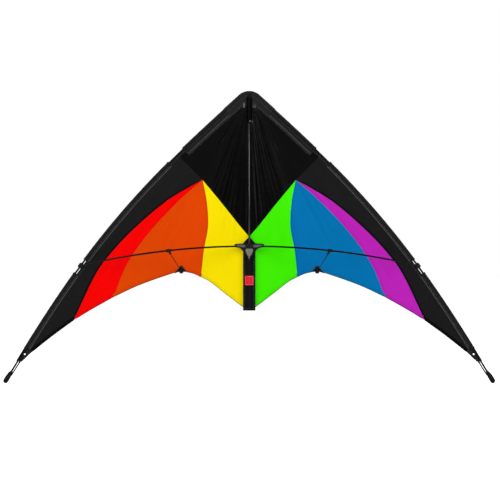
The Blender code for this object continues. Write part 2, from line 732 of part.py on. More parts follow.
class Bow:
    """The spreader's arc, from its socket in the centre fitting through the leading-edge connector."""

    def __init__(self):
        crossing = edge_offset(CONNECTOR_S, EDGE_TO_SPAR)
        self.inner = Vector((SOCKET_U + GAP, SPINE_Y, 0.0))
        self.outer = Vector((crossing[0], SPREADER_OUTER_Y, crossing[1]))
        chord = self.outer - self.inner
        self.along = chord.normalized()
        level = Vector((0, 1, 0)).cross(self.along).normalized()
        level = -level if level.z < 0 else level
        toward = (Vector((0, -1, 0)) - self.along * self.along.dot(Vector((0, -1, 0)))).normalized()
        tilt = math.radians(SPREADER_TILT)
        self.out = (level * math.cos(tilt) + toward * math.sin(tilt)).normalized()
        self.out = (self.out - self.along * self.out.dot(self.along)).normalized()
        half = chord.length / 2
        self.radius = (half * half + SPREADER_SAG**2) / (2 * SPREADER_SAG)
        self.centre = (self.inner + self.outer) / 2 - self.out * (self.radius - SPREADER_SAG)
        self.half_angle = math.asin(half / self.radius)

    def at(self, angle):
        return self.centre + self.out * (self.radius * math.cos(angle)) + self.along * (self.radius * math.sin(angle))

    def tangent(self, angle):
        return self.along * math.cos(angle) - self.out * math.sin(angle)

    def angle_at_u(self, u):
        angles = np.linspace(-self.half_angle, self.half_angle, 200)
        return float(np.interp(u, [self.at(a).x for a in angles], angles))


def spreader(wing, bow, finishes):
    """The bowed cross rod. Its pivot is the centre of its own arc, so that it slides out along itself."""
    home = pivot(wing.name("spreader_slide"), wing.turn([bow.centre])[0], wing.fold)
    end = bow.half_angle + SPREADER_STUB / bow.radius
    points = [bow.at(a) for a in np.linspace(-bow.half_angle, end, 25)]
    rod(wing.name("spreader_rod"), wing.turn(points), SPREADER_RADIUS, finishes["glass"], home, side=(0, 0, 1))


def fitting_arm(wing, bow, finishes):
    """The socket at each side of the centre fitting, which bends at its root when the wing folds."""
    tangent = bow.tangent(bow.angle_at_u((SOCKET_U + ARM_TIP_U) / 2))
    reach = ARM_TIP_U / tangent.x
    start = bow.inner - tangent * (SOCKET_U - 0.006)
    shape = [
        (0.0, 0.0044, 1.75, -0.0030),
        (0.009, 0.0044, 1.70, -0.0028),
        (0.016, 0.0044, 1.25, -0.0009),
        (0.022, ARM_TIP_RADIUS, 1.0, 0.0),
        (reach - 0.006, ARM_TIP_RADIUS, 1.0, 0.0),
    ]
    rings = []
    for far, radius, tall, drop in shape:
        centre = start + tangent * far + Vector((0, 0, drop))
        rings.append(ring(centre, tangent, radius, 16, squash=tall))
    arm = wing.add("fitting_arm", loft(rings), finishes["rubber"])
    bore = wing.cylinder("arm_bore", bow.inner - tangent * GAP, start + tangent * (reach + 0.01),
                         SPREADER_RADIUS + SLIDE_CLEARANCE)
    clear = wing.cylinder("arm_root", (0, FOLD_Y, -0.03), (0, FOLD_Y, 0.03), ARM_ROOT_RADIUS / math.cos(math.pi / 16))
    cut(arm, bore, clear)


def connector(wing, bow, finishes):
    """The leading-edge fitting: a block with one bore for the spar and one in front of it for the spreader."""
    spar = edge_offset(CONNECTOR_S, EDGE_TO_SPAR)
    along = edge_direction(CONNECTOR_S)
    inward = edge_inward(CONNECTOR_S)
    t = Vector((along[0], 0, along[1]))
    n = Vector((inward[0], 0, inward[1]))
    rings = []
    depths = ((CONNECTOR_FRONT_Y, 0.80), (CONNECTOR_FRONT_Y + 0.0015, 1.0), (CONNECTOR_BACK_Y - 0.0015, 1.0),
              (CONNECTOR_BACK_Y, 0.80))
    for y, share in depths:
        half_t, half_n = CONNECTOR_LENGTH / 2 * share, CONNECTOR_WIDTH / 2 * share
        corner = 0.0022 * share
        section = []
        for st, sn in ((1, 1), (-1, 1), (-1, -1), (1, -1)):
            pair = [(half_t - corner, half_n), (half_t, half_n - corner)]
            pair = pair if st * sn < 0 else pair[::-1]
            section += [(st * a, sn * b) for a, b in pair]
        rings.append([Vector((spar[0], y, spar[1])) + t * a + n * b for a, b in section])
    block = wing.add("edge_connector", loft(rings), finishes["rubber"])
    centre = Vector((spar[0], FOLD_Y, spar[1]))
    far = t * 0.02
    spar_bore = wing.cylinder("connector_spar_bore", centre - far, centre + far, SPAR_RADIUS + SLIDE_CLEARANCE)
    reach = bow.tangent(bow.half_angle) * 0.02
    rod_bore = wing.cylinder("connector_rod_bore", bow.outer - reach, bow.outer + reach, SPREADER_RADIUS + SLIDE_CLEARANCE)
    cut(block, spar_bore, rod_bore)


def standoff(wing, bow, finishes):
    """Clip, rod and foot of a stand-off, which turns about the spreader's own axis at the clip."""
    angle = bow.angle_at_u(STANDOFF_U * ACROSS)
    seat = bow.at(angle)
    axis = bow.tangent(angle)
    home = pivot(wing.name("standoff_swing"), wing.turn([seat])[0], wing.fold)
    foot_at = on_sail(spread(FOOT_UZ), -SAIL_THICKNESS / 2 - FOOT_OFF_SAIL)
    foot_at.y -= FOOT_RADIUS * 0.35
    down = (foot_at - seat).normalized()
    length = (foot_at - seat).length

    half = axis * (CLIP_LENGTH / 2)
    barrel_rings = [ring(seat - half, axis, CLIP_RADIUS, side=(0, 1, 0)), ring(seat + half, axis, CLIP_RADIUS, side=(0, 1, 0))]
    clip = wing.add("standoff_clip", loft(barrel_rings), finishes["rubber"], home)
    stem = wing.add("clip_stem", loft([ring(seat, down, CLIP_STEM_RADIUS, 12), ring(seat + down * (CLIP_RADIUS + CLIP_STEM_LENGTH),
                    down, CLIP_STEM_RADIUS * 0.8, 12)]), None, home)
    combine(clip, stem, "UNION")
    rod_start = seat + down * CLIP_HOLD
    cut(
        clip,
        wing.cylinder("clip_bore", seat - half * 1.5, seat + half * 1.5, SPREADER_RADIUS + SLIDE_CLEARANCE, home),
        wing.cylinder("clip_socket", rod_start - down * GAP, seat + down * 0.03, STANDOFF_RADIUS + GAP, home),
    )

    neck = 0.0050
    foot_back = foot_at - down * neck
    rod(wing.name("standoff_rod"), wing.turn([rod_start, foot_back]), STANDOFF_RADIUS, finishes["glass"], home)

    rings = []
    collar = 0.0105
    for far, radius in ((-collar, 0.0024), (-collar + 0.001, 0.0030), (-FOOT_RADIUS * 0.9, 0.0031)):
        rings.append(ring(foot_at + down * far, down, radius, 16))
    for k in range(1, 8):
        turn = math.pi * (0.16 + 0.84 * k / 8)
        rings.append(ring(foot_at - down * (FOOT_RADIUS * math.cos(turn)), down, FOOT_RADIUS * math.sin(turn), 16))
    foot = wing.add("standoff_foot", loft(rings), finishes["rubber"], home)
    seat_y = sail_y(*spread(FOOT_UZ)) - SAIL_THICKNESS / 2 - FOOT_OFF_SAIL
    here = spread(FOOT_UZ)
    slope_u = (sail_y(here[0] + 0.005, here[1]) - sail_y(here[0] - 0.005, here[1])) / 0.010
    slope_z = (sail_y(here[0], here[1] + 0.005) - sail_y(here[0], here[1] - 0.005)) / 0.010
    reach = 0.02
    corners = [(-reach, -reach), (reach, -reach), (reach, reach), (-reach, reach)]
    slab = []
    for back in (0.0, 0.03):
        slab.append([Vector((here[0] + a, seat_y + slope_u * a + slope_z * b + back, here[1] + b)) for a, b in corners])
    trim = wing.add("foot_trim", loft(slab), None, home)
    socket = wing.cylinder("foot_socket", foot_back + down * GAP, foot_at - down * 0.03, STANDOFF_RADIUS + GAP, home)
    cut(foot, trim, socket)
    return length - CLIP_HOLD - neck


def foot_patch(wing, finishes):
    """The reinforcement on the trailing edge under the stand-off's foot."""
    foot = spread(FOOT_UZ)
    left = straight(foot + (-0.0020, 0.0165), foot + (-0.0165, -0.0010), 4)
    right = straight(foot + (0.0020, 0.0165), foot + (0.0165, -0.0035), 4)
    top = straight(left[0], right[0], 5)
    bottom = straight(left[-1], right[-1], 5)
    for j, lift in enumerate((0.0, 0.0022, 0.0030, 0.0022, 0.0)):
        bottom[j] = bottom[j] + np.array([0.0, lift - 0.0005])
    grid = panel_grid(left, right, top, bottom)
    wing.add("foot_patch", thin_shell(grid, 0.0005, SAIL_THICKNESS / 2 + 0.0014), finishes["webbing"])


def wing_tip(wing, finishes):
    """Webbing tab with its eyelet, the cap on the spar's end and the bungee that pulls the sail to it."""
    end = SAIL_END_S
    start = end - (end - SLEEVE_END_S) * TIP_PATCH_SHARE
    inner, outer = BAND_LOWER - 0.002, 0.0005
    corners = [
        edge_offset(start, outer),
        edge_offset(start, BAND_LOWER),
        edge_offset(end, inner),
        edge_offset(end + TIP_PATCH_SKEW, outer),
    ]
    rings = [[Vector((p[0], y, p[1])) for p in corners] for y in TIP_PATCH_Y]
    patch = wing.add("tip_tab", loft(rings), finishes["webbing"])
    hole_s = s_at_height(EYELET_Z)
    hole = edge_offset(hole_s, EYELET_INWARD)
    middle_y = sum(TIP_PATCH_Y) / 2
    centre = Vector((hole[0], middle_y, hole[1]))
    deep = Vector((0, 0.01, 0))
    cut(patch, wing.cylinder("tab_hole", centre - deep, centre + deep, EYELET_HOLE + 0.0011 + GAP))
    # The eyelet: a barrel through the tab with a flange on each face.
    face = (TIP_PATCH_Y[1] - TIP_PATCH_Y[0]) / 2 + GAP
    rims, bores = [], []
    profile = ((-face - 0.0005, EYELET_RADIUS - 0.0006), (-face, EYELET_RADIUS), (-face, EYELET_HOLE + 0.0009),
               (face, EYELET_HOLE + 0.0009), (face, EYELET_RADIUS), (face + 0.0005, EYELET_RADIUS - 0.0006))
    for y, radius in profile:
        point = centre + Vector((0, y, 0))
        rims.append(ring(point, (0, 1, 0), radius, 16, side=(0, 0, 1)))
        bores.append(ring(point, (0, 1, 0), EYELET_HOLE, 16, side=(0, 0, 1)))
    wing.add("tip_eyelet", hollow_loft(rims, bores), finishes["metal"])

    mouth2 = edge_offset(TIP_CAP_S, EDGE_TO_SPAR)
    direction = edge_direction(TIP_CAP_S)
    away = Vector((direction[0], 0, direction[1]))
    mouth = Vector((mouth2[0], FOLD_Y, mouth2[1]))
    home = pivot(wing.name("tip_cap_slide"), wing.turn([mouth])[0], wing.fold)
    closed = wing.turn([mouth + away * TIP_CAP_LENGTH])[0]
    back = wing.turn([-away])[0]
    cup(wing.name("tip_cap"), closed, back, TIP_CAP_RADIUS, SPAR_RADIUS + SLIDE_CLEARANCE, TIP_CAP_LENGTH, TIP_CAP_BORE,
        finishes["vinyl"], home)

    inward = edge_inward(TIP_CAP_S)
    inside = Vector((inward[0], 0, inward[1]))
    finish_at = mouth + inside * TIP_CAP_RADIUS * 0.72 - away * GAP
    tied_at = BAND_LOWER - 0.0045
    lower = TIP_PATCH_SKEW * (inner - tied_at) / (inner - outer)
    tab_end = edge_offset(end + lower + 2 * GAP, tied_at)
    begin_at = Vector((tab_end[0], middle_y, tab_end[1]))
    bend = (begin_at + finish_at) / 2 + inside * 0.0010
    points = []
    for t in np.linspace(0, 1, 9):
        points.append(begin_at * (1 - t) ** 2 + bend * (2 * t * (1 - t)) + finish_at * t**2)
    rod(wing.name("tip_bungee"), wing.turn(points), BUNGEE_RADIUS, finishes["cord"], wing.fold, sides=8)


def main():
    clear_scene()
    finishes = {
        "black sail": material("black ripstop", BLACK, 0.55),
        "sleeve": material("sleeve cloth", DARK_GREY, 0.6),
        "webbing": material("black webbing", DARK_GREY, 0.8),
        "glass": material("black fibre rod", BLACK, 0.35),
        "rubber": material("moulded rubber", GREY, 0.6),
        "vinyl": material("black vinyl cap", BLACK, 0.45),
        "metal": material("plated metal", METAL, 0.3, 1.0),
        "label": material("red woven label", (0.70, 0.02, 0.03), 0.8),
        "cord": material("black elastic cord", BLACK, 0.8),
    }
    for side, colours in PANEL_COLOURS.items():
        for place, colour in colours.items():
            finishes[place + " " + side] = material(PANEL_NAMES[side][place], colour, 0.5)
    spine_pieces(finishes)
    nose_pocket(finishes)
    centre_fitting(finishes)
    tail_strip(finishes)
    woven_label(finishes)
    bow = Bow()
    for side in ("left", "right"):
        wing = Wing(side)
        sail_panels(wing, finishes)
        sleeves(wing, finishes)
        spars(wing, finishes)
        fitting_arm(wing, bow, finishes)
        connector(wing, bow, finishes)
        spreader(wing, bow, finishes)
        standoff(wing, bow, finishes)
        foot_patch(wing, finishes)
        wing_tip(wing, finishes)


main()
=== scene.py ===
"""The looks of a two-line sport delta kite: cloth, seams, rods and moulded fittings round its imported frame.

Right is +X, the nose is +Z and the flyer stands at -Y. Everything is in metres.
"""

import json
import math

import bmesh
import bpy
import numpy as np
from mathutils import Matrix, Vector


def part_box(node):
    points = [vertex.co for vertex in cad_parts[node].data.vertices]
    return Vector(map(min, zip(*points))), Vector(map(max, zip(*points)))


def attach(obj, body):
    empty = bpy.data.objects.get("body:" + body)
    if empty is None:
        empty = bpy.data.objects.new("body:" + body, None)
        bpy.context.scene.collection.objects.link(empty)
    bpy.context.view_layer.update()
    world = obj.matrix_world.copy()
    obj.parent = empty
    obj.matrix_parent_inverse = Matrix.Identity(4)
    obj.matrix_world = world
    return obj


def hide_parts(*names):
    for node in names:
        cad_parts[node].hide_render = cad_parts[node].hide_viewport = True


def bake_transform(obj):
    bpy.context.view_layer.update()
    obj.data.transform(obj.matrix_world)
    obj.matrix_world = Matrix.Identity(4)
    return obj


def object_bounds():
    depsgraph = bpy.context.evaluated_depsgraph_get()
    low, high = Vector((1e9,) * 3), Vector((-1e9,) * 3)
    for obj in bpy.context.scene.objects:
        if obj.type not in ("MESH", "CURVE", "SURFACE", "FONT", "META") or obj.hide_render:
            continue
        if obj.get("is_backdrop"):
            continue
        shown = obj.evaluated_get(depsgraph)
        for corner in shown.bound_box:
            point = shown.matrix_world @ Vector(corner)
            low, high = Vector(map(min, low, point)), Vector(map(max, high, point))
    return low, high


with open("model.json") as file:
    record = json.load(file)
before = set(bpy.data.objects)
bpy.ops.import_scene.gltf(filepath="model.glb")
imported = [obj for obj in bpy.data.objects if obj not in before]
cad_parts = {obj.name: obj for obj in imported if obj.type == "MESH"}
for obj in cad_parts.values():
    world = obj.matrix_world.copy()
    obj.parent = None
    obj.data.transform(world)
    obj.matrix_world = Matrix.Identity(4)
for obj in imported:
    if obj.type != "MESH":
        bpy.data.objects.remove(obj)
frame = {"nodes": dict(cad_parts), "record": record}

bl_info = {
    "name": "Delta kite looks",
    "version": (1, 0, 0),
    "blender": (4, 5, 0),
    "location": "3D View > Sidebar > Kite",
    "description": "Sews the sail and makes the rods and fittings of a sport delta kite",
    "category": "Object",
}

# ---- the kite's own cut, as (distance from the spine, height) ------------------------------------

FOLD_Y = 0.0125  # the sail's middle surface at the spine and at the spars
SPINE_Y = 0.0065
EDGE_START = (0.0216, 0.4020)
EDGE_LENGTH = 1.020
EDGE_BEND_LENGTH = 0.964
EDGE_SLOPE_NOSE = 42.0
EDGE_SLOPE_TIP = 58.5
EDGE_TO_SPAR = 0.0050
BILLOW = 0.085
BILLOW_RIDGE = 0.39
BILLOW_ROUND = 0.35
NOSE_PATCH_LENGTH = 0.062
UPPER_GAP_Z = (0.2545, 0.2193)
LOWER_GAP_Z = (-0.0370, -0.0705)
UPPER_SEAM_START_Z = 0.2400
FERRULE_Z = 0.060
SLEEVE_END_Z = -0.2700
SAIL_END_Z = -0.2980
TAB_START_Z = -0.2665
TIP_CAP_Z = -0.3347
EYELET_Z = -0.2808
EYELET_INWARD = 0.0111
FOOT_UZ = (0.1805, -0.0665)
STRIP_BACK_Y = 0.0118
STRIP_TAIL_Z = -0.1690
STRIP_POCKET_Z = -0.0405
LABEL_Z = -0.0900

APEX = (0.1230, 0.1750)
SPINE_SEAM_END = (0.0, 0.0255)
INNER_END = (0.1280, -0.0810)
OUTER_END = (0.3590, -0.1340)
BLACK_END = (0.4630, -0.1950)
SEAM_CENTRE = [APEX, (0.074, 0.116), (0.024, 0.053), SPINE_SEAM_END]
SEAM_INNER = [APEX, (0.112, 0.116), (0.109, 0.053), (0.120, -0.010), INNER_END]
SEAM_OUTER = [APEX, (0.173, 0.132), (0.236, 0.069), (0.288, 0.006), (0.328, -0.057), OUTER_END]
SEAM_BLACK = [APEX, (0.160, 0.155), (0.222, 0.116), (0.296, 0.053), (0.357, -0.010), (0.404, -0.073), BLACK_END]
TRAILING_INNER = [(0.0, -0.1685), (0.0163, -0.1600), (0.061, -0.1268), (0.103, -0.0945), INNER_END]
TRAILING_MIDDLE = [INNER_END, (0.150, -0.072), (0.180, -0.067), (0.208, -0.073), (0.292, -0.103), OUTER_END]
TRAILING_OUTER = [OUTER_END, (0.419, -0.168), BLACK_END]
TRAILING_TIP = [BLACK_END, (0.524, -0.240), (0.5995, -0.3015)]

SIDES = ("left", "right")
SIGN = {"left": -1.0, "right": 1.0}
PANELS = {
    "left": {"inner": "yellow", "middle": "orange", "outer": "red"},
    "right": {"inner": "green", "middle": "blue", "outer": "purple"},
}
GRID_STEP = 0.0042  # between the points of a cloth piece
FRONT, BACK = -1.0, 1.0


def linear(colour):
    """An sRGB hex colour as linear red, green and blue."""
    values = [int(colour[k : k + 2], 16) / 255 for k in (1, 3, 5)]
    return [v / 12.92 if v <= 0.04045 else ((v + 0.055) / 1.055) ** 2.4 for v in values]


def colour_property(name, description, colour):
    return bpy.props.FloatVectorProperty(
        name=name, description=description, subtype="COLOR", size=3, min=0.0, max=1.0, default=linear(colour)
    )


def length_property(name, description, metres):
    return bpy.props.FloatProperty(name=name, description=description, unit="LENGTH", min=0.0, default=metres)


class KiteColours(bpy.types.PropertyGroup):
    """The cloths' and fittings' colours"""

    yellow: colour_property("Yellow", "Inner panel, left", "#FBE600")
    orange: colour_property("Orange", "Middle panel, left", "#E04600")
    red: colour_property("Red", "Outer panel, left", "#FA0000")
    green: colour_property("Green", "Inner panel, right", "#42F600")
    blue: colour_property("Blue", "Middle panel, right", "#0072B2")
    purple: colour_property("Purple", "Outer panel, right", "#BC22B8")
    black: colour_property("Black", "Top and edge panels", "#050506")
    sleeve: colour_property("Sleeve", "Leading-edge sleeves", "#161617")
    webbing: colour_property("Webbing", "Nose patch and tip tabs", "#1B1B1C")
    strip: colour_property("Strip", "Reinforcing strip at the spine's foot", "#0E0E10")
    label: colour_property("Label", "Woven label", "#D02034")
    rubber: colour_property("Rubber", "Moulded fittings", "#0B0B0B")
    rod: colour_property("Rod", "Spine, spars and cross rods", "#050505")


class KiteSizes(bpy.types.PropertyGroup):
    """Sizes of the sewing and of the cloth"""

    cloth: length_property("Cloth", "Thickness of the sail's cloth, drawn three times its real 0.1 mm", 0.0003)
    ripstop: length_property("Ripstop cell", "Distance between the reinforcing threads", 0.0050)
    seam: length_property("Seam", "Width of the overlap at a seam", 0.0060)
    hem: length_property("Hem", "Width of the folded hem on the trailing edge", 0.0080)
    pitch: length_property("Stitch pitch", "From one stitch to the next", 0.0032)
    thread: length_property("Thread", "Radius of the sewing thread, drawn thicker than its real 0.1 mm", 0.00022)
    wrinkle: length_property("Wrinkles", "Depth of the wrinkles that fan out from the nose", 0.00150)
    band_upper: length_property("Upper band", "Width of the upper sleeves", 0.0280)
    band_lower: length_property("Lower band", "Width of the middle and lower sleeves", 0.0165)
    rod: length_property("Cross rod", "Radius of the cross rods", 0.0023)
    spar: length_property("Spar", "Radius of the spars", 0.0025)
    spine: length_property("Spine", "Radius of the spine", 0.0025)


def sizes():
    return bpy.context.scene.kite_sizes


def colours():
    return bpy.context.scene.kite_colours


# ---- curves of the cut ---------------------------------------------------------------------------


def smooth_step(low, high, value):
    t = np.clip((value - low) / (high - low), 0.0, 1.0)
    return t * t * (3 - 2 * t)


def lengths_along(points):
    steps = np.linalg.norm(np.diff(points, axis=0), axis=1)
    return np.concatenate([[0.0], np.cumsum(steps)])


def evenly(points, count):
    along = lengths_along(points)
    wanted = np.linspace(0, along[-1], count)
    return np.column_stack([np.interp(wanted, along, points[:, k]) for k in range(points.shape[1])])


def smooth_line(points, count):
    """Evenly spaced points on a Catmull-Rom curve."""
    knots = np.array(points, float)
    knots = np.vstack([2 * knots[0] - knots[1], knots, 2 * knots[-1] - knots[-2]])
    dense = []
    for i in range(1, len(knots) - 2):
        before, start, end, after = knots[i - 1 : i + 3]
        t = np.linspace(0, 1, 24, endpoint=False)[:, None]
        square = 2 * before - 5 * start + 4 * end - after
        cube = 3 * start - before - 3 * end + after
        dense.append(0.5 * (2 * start + (end - before) * t + square * t**2 + cube * t**3))
    dense.append(knots[-2][None])
    return evenly(np.vstack(dense), count)


def edge_line():
    s = np.linspace(0, EDGE_LENGTH, 400)
    share = smooth_step(0, EDGE_BEND_LENGTH, s)
    slope = np.radians(EDGE_SLOPE_NOSE + (EDGE_SLOPE_TIP - EDGE_SLOPE_NOSE) * share)
    middle = (slope[1:] + slope[:-1]) / 2
    u = EDGE_START[0] + np.concatenate([[0], np.cumsum(np.cos(middle)) * s[1]])
    z = EDGE_START[1] - np.concatenate([[0], np.cumsum(np.sin(middle)) * s[1]])
    return s, np.column_stack([u, z])


EDGE_S, EDGE = edge_line()


def edge_at(s):
    return np.column_stack([np.interp(s, EDGE_S, EDGE[:, k]) for k in (0, 1)])


def edge_offset(s, inward):
    """Points that lie `inward` of the leading edge's outer line."""
    s = np.atleast_1d(np.asarray(s, float))
    along = edge_at(s + 0.004) - edge_at(s - 0.004)
    along /= np.linalg.norm(along, axis=1)[:, None]
    turned = np.column_stack([along[:, 1], -along[:, 0]])
    return edge_at(s) + turned * np.broadcast_to(inward, s.shape)[:, None]


SPAR_S = EDGE_S[2:-2]
SPAR_LINE = edge_offset(SPAR_S, EDGE_TO_SPAR)


def s_at_height(z):
    return float(np.interp(-z, -SPAR_LINE[:, 1], SPAR_S))


def edge_coordinates(points):
    """How far along the leading edge each point is, and how far inward of it."""
    gaps = points[:, None, :] - EDGE[None, :, :]
    far = np.linalg.norm(gaps, axis=2)
    nearest = far.argmin(axis=1)
    return EDGE_S[nearest], far[np.arange(len(points)), nearest]


def tent(share):
    """0 at the spine and the spar, 1 at the billow's rounded ridge."""

    def raw(t):
        rise = t / BILLOW_RIDGE
        fall = (1 - t) / (1 - BILLOW_RIDGE)
        return (rise + fall - np.sqrt((rise - fall) ** 2 + BILLOW_ROUND**2)) / 2

    level = raw(0.0) * (1 - share) + raw(1.0) * share
    top = raw(BILLOW_RIDGE) - raw(0.0) * (1 - BILLOW_RIDGE) - raw(1.0) * BILLOW_RIDGE
    return (raw(share) - level) / top


def sail_y(u, z):
    """The stretched sail: a cone from the nose that deepens towards the trailing edge."""
    spar_u = np.interp(-z, -SPAR_LINE[:, 1], SPAR_LINE[:, 0])
    share = np.clip(u / spar_u, 0.0, 1.0)
    depth = BILLOW * np.maximum(EDGE_START[1] - z, 0.0) / (EDGE_START[1] - FOOT_UZ[1])
    return FOLD_Y + depth * tent(share)


def crease(phase):
    """Narrow ridges with wide flats between them, like cloth that is pulled tight."""
    return np.exp(-((np.sin(phase / 2) / 0.34) ** 2))


def wrinkles(u, z, side):
    """Creases in the stretched cloth. They die out at the spine and the leading edge, so that both stay straight."""
    phase = 0.0 if side == "left" else 1.7
    below = EDGE_START[1] - z
    far = np.hypot(u, below)
    angle = np.arctan2(u, np.maximum(below, 1e-4))
    fan = 0.70 * crease(47 * angle + phase + 2 * far) - 0.55 * crease(83 * angle + 2.1 + 2 * phase + 5 * far)
    fan += 0.40 * crease(131 * angle + 0.7 + phase - 9 * far)
    patchy = 0.6 + 0.4 * np.sin(9 * angle + 21 * far + phase)
    reach = smooth_step(0.03, 0.09, far) * (1 - smooth_step(0.36, 0.52, far)) * smooth_step(0.0, 0.008, u)
    reach *= patchy * (1 - smooth_step(0.60, 0.76, angle))
    edge_u = np.interp(-z, -EDGE[:, 1], EDGE[:, 0])
    inward = (edge_u - u) * 0.77
    ripple = crease(2 * math.pi * inward / 0.027 + 2.2 * np.sin(z / 0.055 + phase))
    ripple += 0.8 * np.sin(2 * math.pi * (inward + 0.2 * z) / 0.041 + 1.3 + phase)
    beside = smooth_step(0.018, 0.034, inward) * (1 - smooth_step(0.060, 0.095, inward))
    beside *= 1 - 0.6 * smooth_step(0.12, 0.22, z)
    soft = np.sin(2 * math.pi * u / 0.083 + phase + 11 * z) * np.sin(2 * math.pi * z / 0.127 + 1.1 + phase)
    open_cloth = smooth_step(0.02, 0.10, u) * smooth_step(0.03, 0.09, inward)
    depth = sizes().wrinkle
    return depth * (fan * reach + 0.55 * ripple * beside + 0.5 * soft * open_cloth)


def cloth_y(u, z, side):
    return sail_y(u, z) + wrinkles(u, z, side)


def on_cloth(points, off, side):
    """3-D points on the sail's surface, `off` behind its middle, on one side of the kite."""
    points = np.asarray(points, float)
    y = cloth_y(points[..., 0], points[..., 1], side) + off
    return np.stack([points[..., 0] * SIGN[side], y, points[..., 1]], axis=-1)


# ---- materials -----------------------------------------------------------------------------------


def add_node(tree, kind, settings=(), inputs=()):
    """Adds one node. An input is given by name or number, as a value or as the output that feeds it."""
    node = tree.nodes.new(kind)
    for name, value in dict(settings).items():
        setattr(node, name, value)
    for name, value in dict(inputs).items():
        if isinstance(value, bpy.types.NodeSocket):
            tree.links.new(value, node.inputs[name])
        else:
            node.inputs[name].default_value = value
    return node


def surface(name, roughness, specular=0.5, metallic=0.0, **sockets):
    """A material with a Principled shader, and what its pattern nodes need."""
    made = bpy.data.materials.new(name)
    made.use_nodes = True
    tree = made.node_tree
    shader = tree.nodes["Principled BSDF"]
    shader.inputs["Roughness"].default_value = roughness
    shader.inputs["Specular IOR Level"].default_value = specular
    shader.inputs["Metallic"].default_value = metallic
    for socket, value in sockets.items():
        shader.inputs[socket.replace("_", " ")].default_value = value
    where = add_node(tree, "ShaderNodeTexCoord").outputs["Object"]
    return made, tree, shader, where


def shades(tree, shader, factor, colour, low, high):
    """Varies the base colour between two brightnesses of one colour."""
    dark = [c * low for c in colour] + [1.0]
    light = [min(c * high, 1.0) for c in colour] + [1.0]
    mix = add_node(tree, "ShaderNodeMix", {"data_type": "RGBA"}, {0: factor, 6: dark, 7: light})
    tree.links.new(mix.outputs[2], shader.inputs["Base Color"])


def relief(tree, shader, height, distance, strength=1.0, below=None):
    inputs = {"Height": height, "Distance": distance, "Strength": strength}
    if below:
        inputs["Normal"] = below.outputs["Normal"]
    bump = add_node(tree, "ShaderNodeBump", (), inputs)
    tree.links.new(bump.outputs["Normal"], shader.inputs["Normal"])
    return bump


def ripstop(name, colour, turn, specular, roughness=0.46, low=0.93):
    """Ripstop polyester, woven with a thicker thread every few millimetres and calendered.

    It shows a faint lattice and a soft gloss.
    """
    made, tree, shader, where = surface(name, roughness, specular)
    cell = sizes().ripstop
    flat = add_node(tree, "ShaderNodeSeparateXYZ", (), {0: where})
    plane = add_node(tree, "ShaderNodeCombineXYZ", (), {0: flat.outputs[0], 1: flat.outputs[2]})
    turned = add_node(tree, "ShaderNodeMapping", (),
                      {"Vector": plane.outputs[0], "Rotation": (0, 0, math.radians(turn))})
    lattice = add_node(
        tree,
        "ShaderNodeTexBrick",
        {"offset": 0.0, "squash": 1.0},
        {
            "Vector": turned.outputs[0], "Scale": 1.0, "Mortar Size": cell * 0.07, "Mortar Smooth": 0.6,
            "Brick Width": cell, "Row Height": cell,
            "Color1": (1, 1, 1, 1), "Color2": (1, 1, 1, 1), "Mortar": (0, 0, 0, 1),
        },
    )
    # Cloud of the calendering, about 60 mm across.
    cloud = add_node(tree, "ShaderNodeTexNoise", (), {"Vector": where, "Scale": 16.0, "Detail": 3.0})
    even = add_node(tree, "ShaderNodeMath", {"operation": "MULTIPLY"}, {0: cloud.outputs[0], 1: 0.8})
    factor = add_node(tree, "ShaderNodeMath", {"operation": "MULTIPLY_ADD"},
                      {0: lattice.outputs["Fac"], 1: -0.35, 2: even.outputs[0]})
    shades(tree, shader, factor.outputs[0], colour, low, 1.06)
    # Single threads are 0.2 mm apart; the weave is drawn at 0.8 mm so that it shows.
    weave = add_node(tree, "ShaderNodeTexNoise", (), {"Vector": turned.outputs[0], "Scale": 1250.0, "Detail": 1.0})
    fine = relief(tree, shader, weave.outputs[0], 0.00005, 0.35)
    relief(tree, shader, lattice.outputs["Fac"], 0.00012, 0.6, below=fine)
    return made


def woven(name, colour, thread, roughness, specular=0.25, low=0.72):
    """Plain or ribbed webbing, woven from thick yarn: fine ribs across it and a dull face."""
    made, tree, shader, where = surface(name, roughness, specular)
    ribs = []
    for axis in ("X", "Z"):
        wave = add_node(tree, "ShaderNodeTexWave", {"bands_direction": axis},
                        {"Vector": where, "Scale": 0.3142 / thread, "Distortion": 0.6, "Detail": 1.0})
        ribs.append(wave.outputs["Fac"])
    weave = add_node(tree, "ShaderNodeMath", {"operation": "MULTIPLY"}, {0: ribs[0], 1: ribs[1]})
    dust = add_node(tree, "ShaderNodeTexNoise", (), {"Vector": where, "Scale": 60.0, "Detail": 4.0})
    factor = add_node(tree, "ShaderNodeMath", {"operation": "MULTIPLY_ADD"},
                      {0: weave.outputs[0], 1: 0.6, 2: dust.outputs[0]})
    shades(tree, shader, factor.outputs[0], colour, low, 1.35)
    relief(tree, shader, weave.outputs[0], thread * 0.25, 0.7)
    return made


def moulded(name, colour, roughness, grain, specular=0.4):
    """A moulded rubber or vinyl: fine spark-eroded grain, a little scuffed."""
    made, tree, shader, where = surface(name, roughness, specular)
    speck = add_node(tree, "ShaderNodeTexNoise", (), {"Vector": where, "Scale": 1.0 / grain, "Detail": 2.0})
    scuff = add_node(tree, "ShaderNodeTexNoise", (), {"Vector": where, "Scale": 140.0, "Detail": 5.0, "Roughness": 0.7})
    shades(tree, shader, scuff.outputs[0], colour, 0.8, 1.3)
    worn = add_node(tree, "ShaderNodeMapRange", (),
                    {"Value": scuff.outputs[0], "From Min": 0.3, "From Max": 0.7,
                     "To Min": roughness - 0.08, "To Max": roughness + 0.1})
    tree.links.new(worn.outputs[0], shader.inputs["Roughness"])
    relief(tree, shader, speck.outputs[0], grain * 0.12, 0.6)
    return made


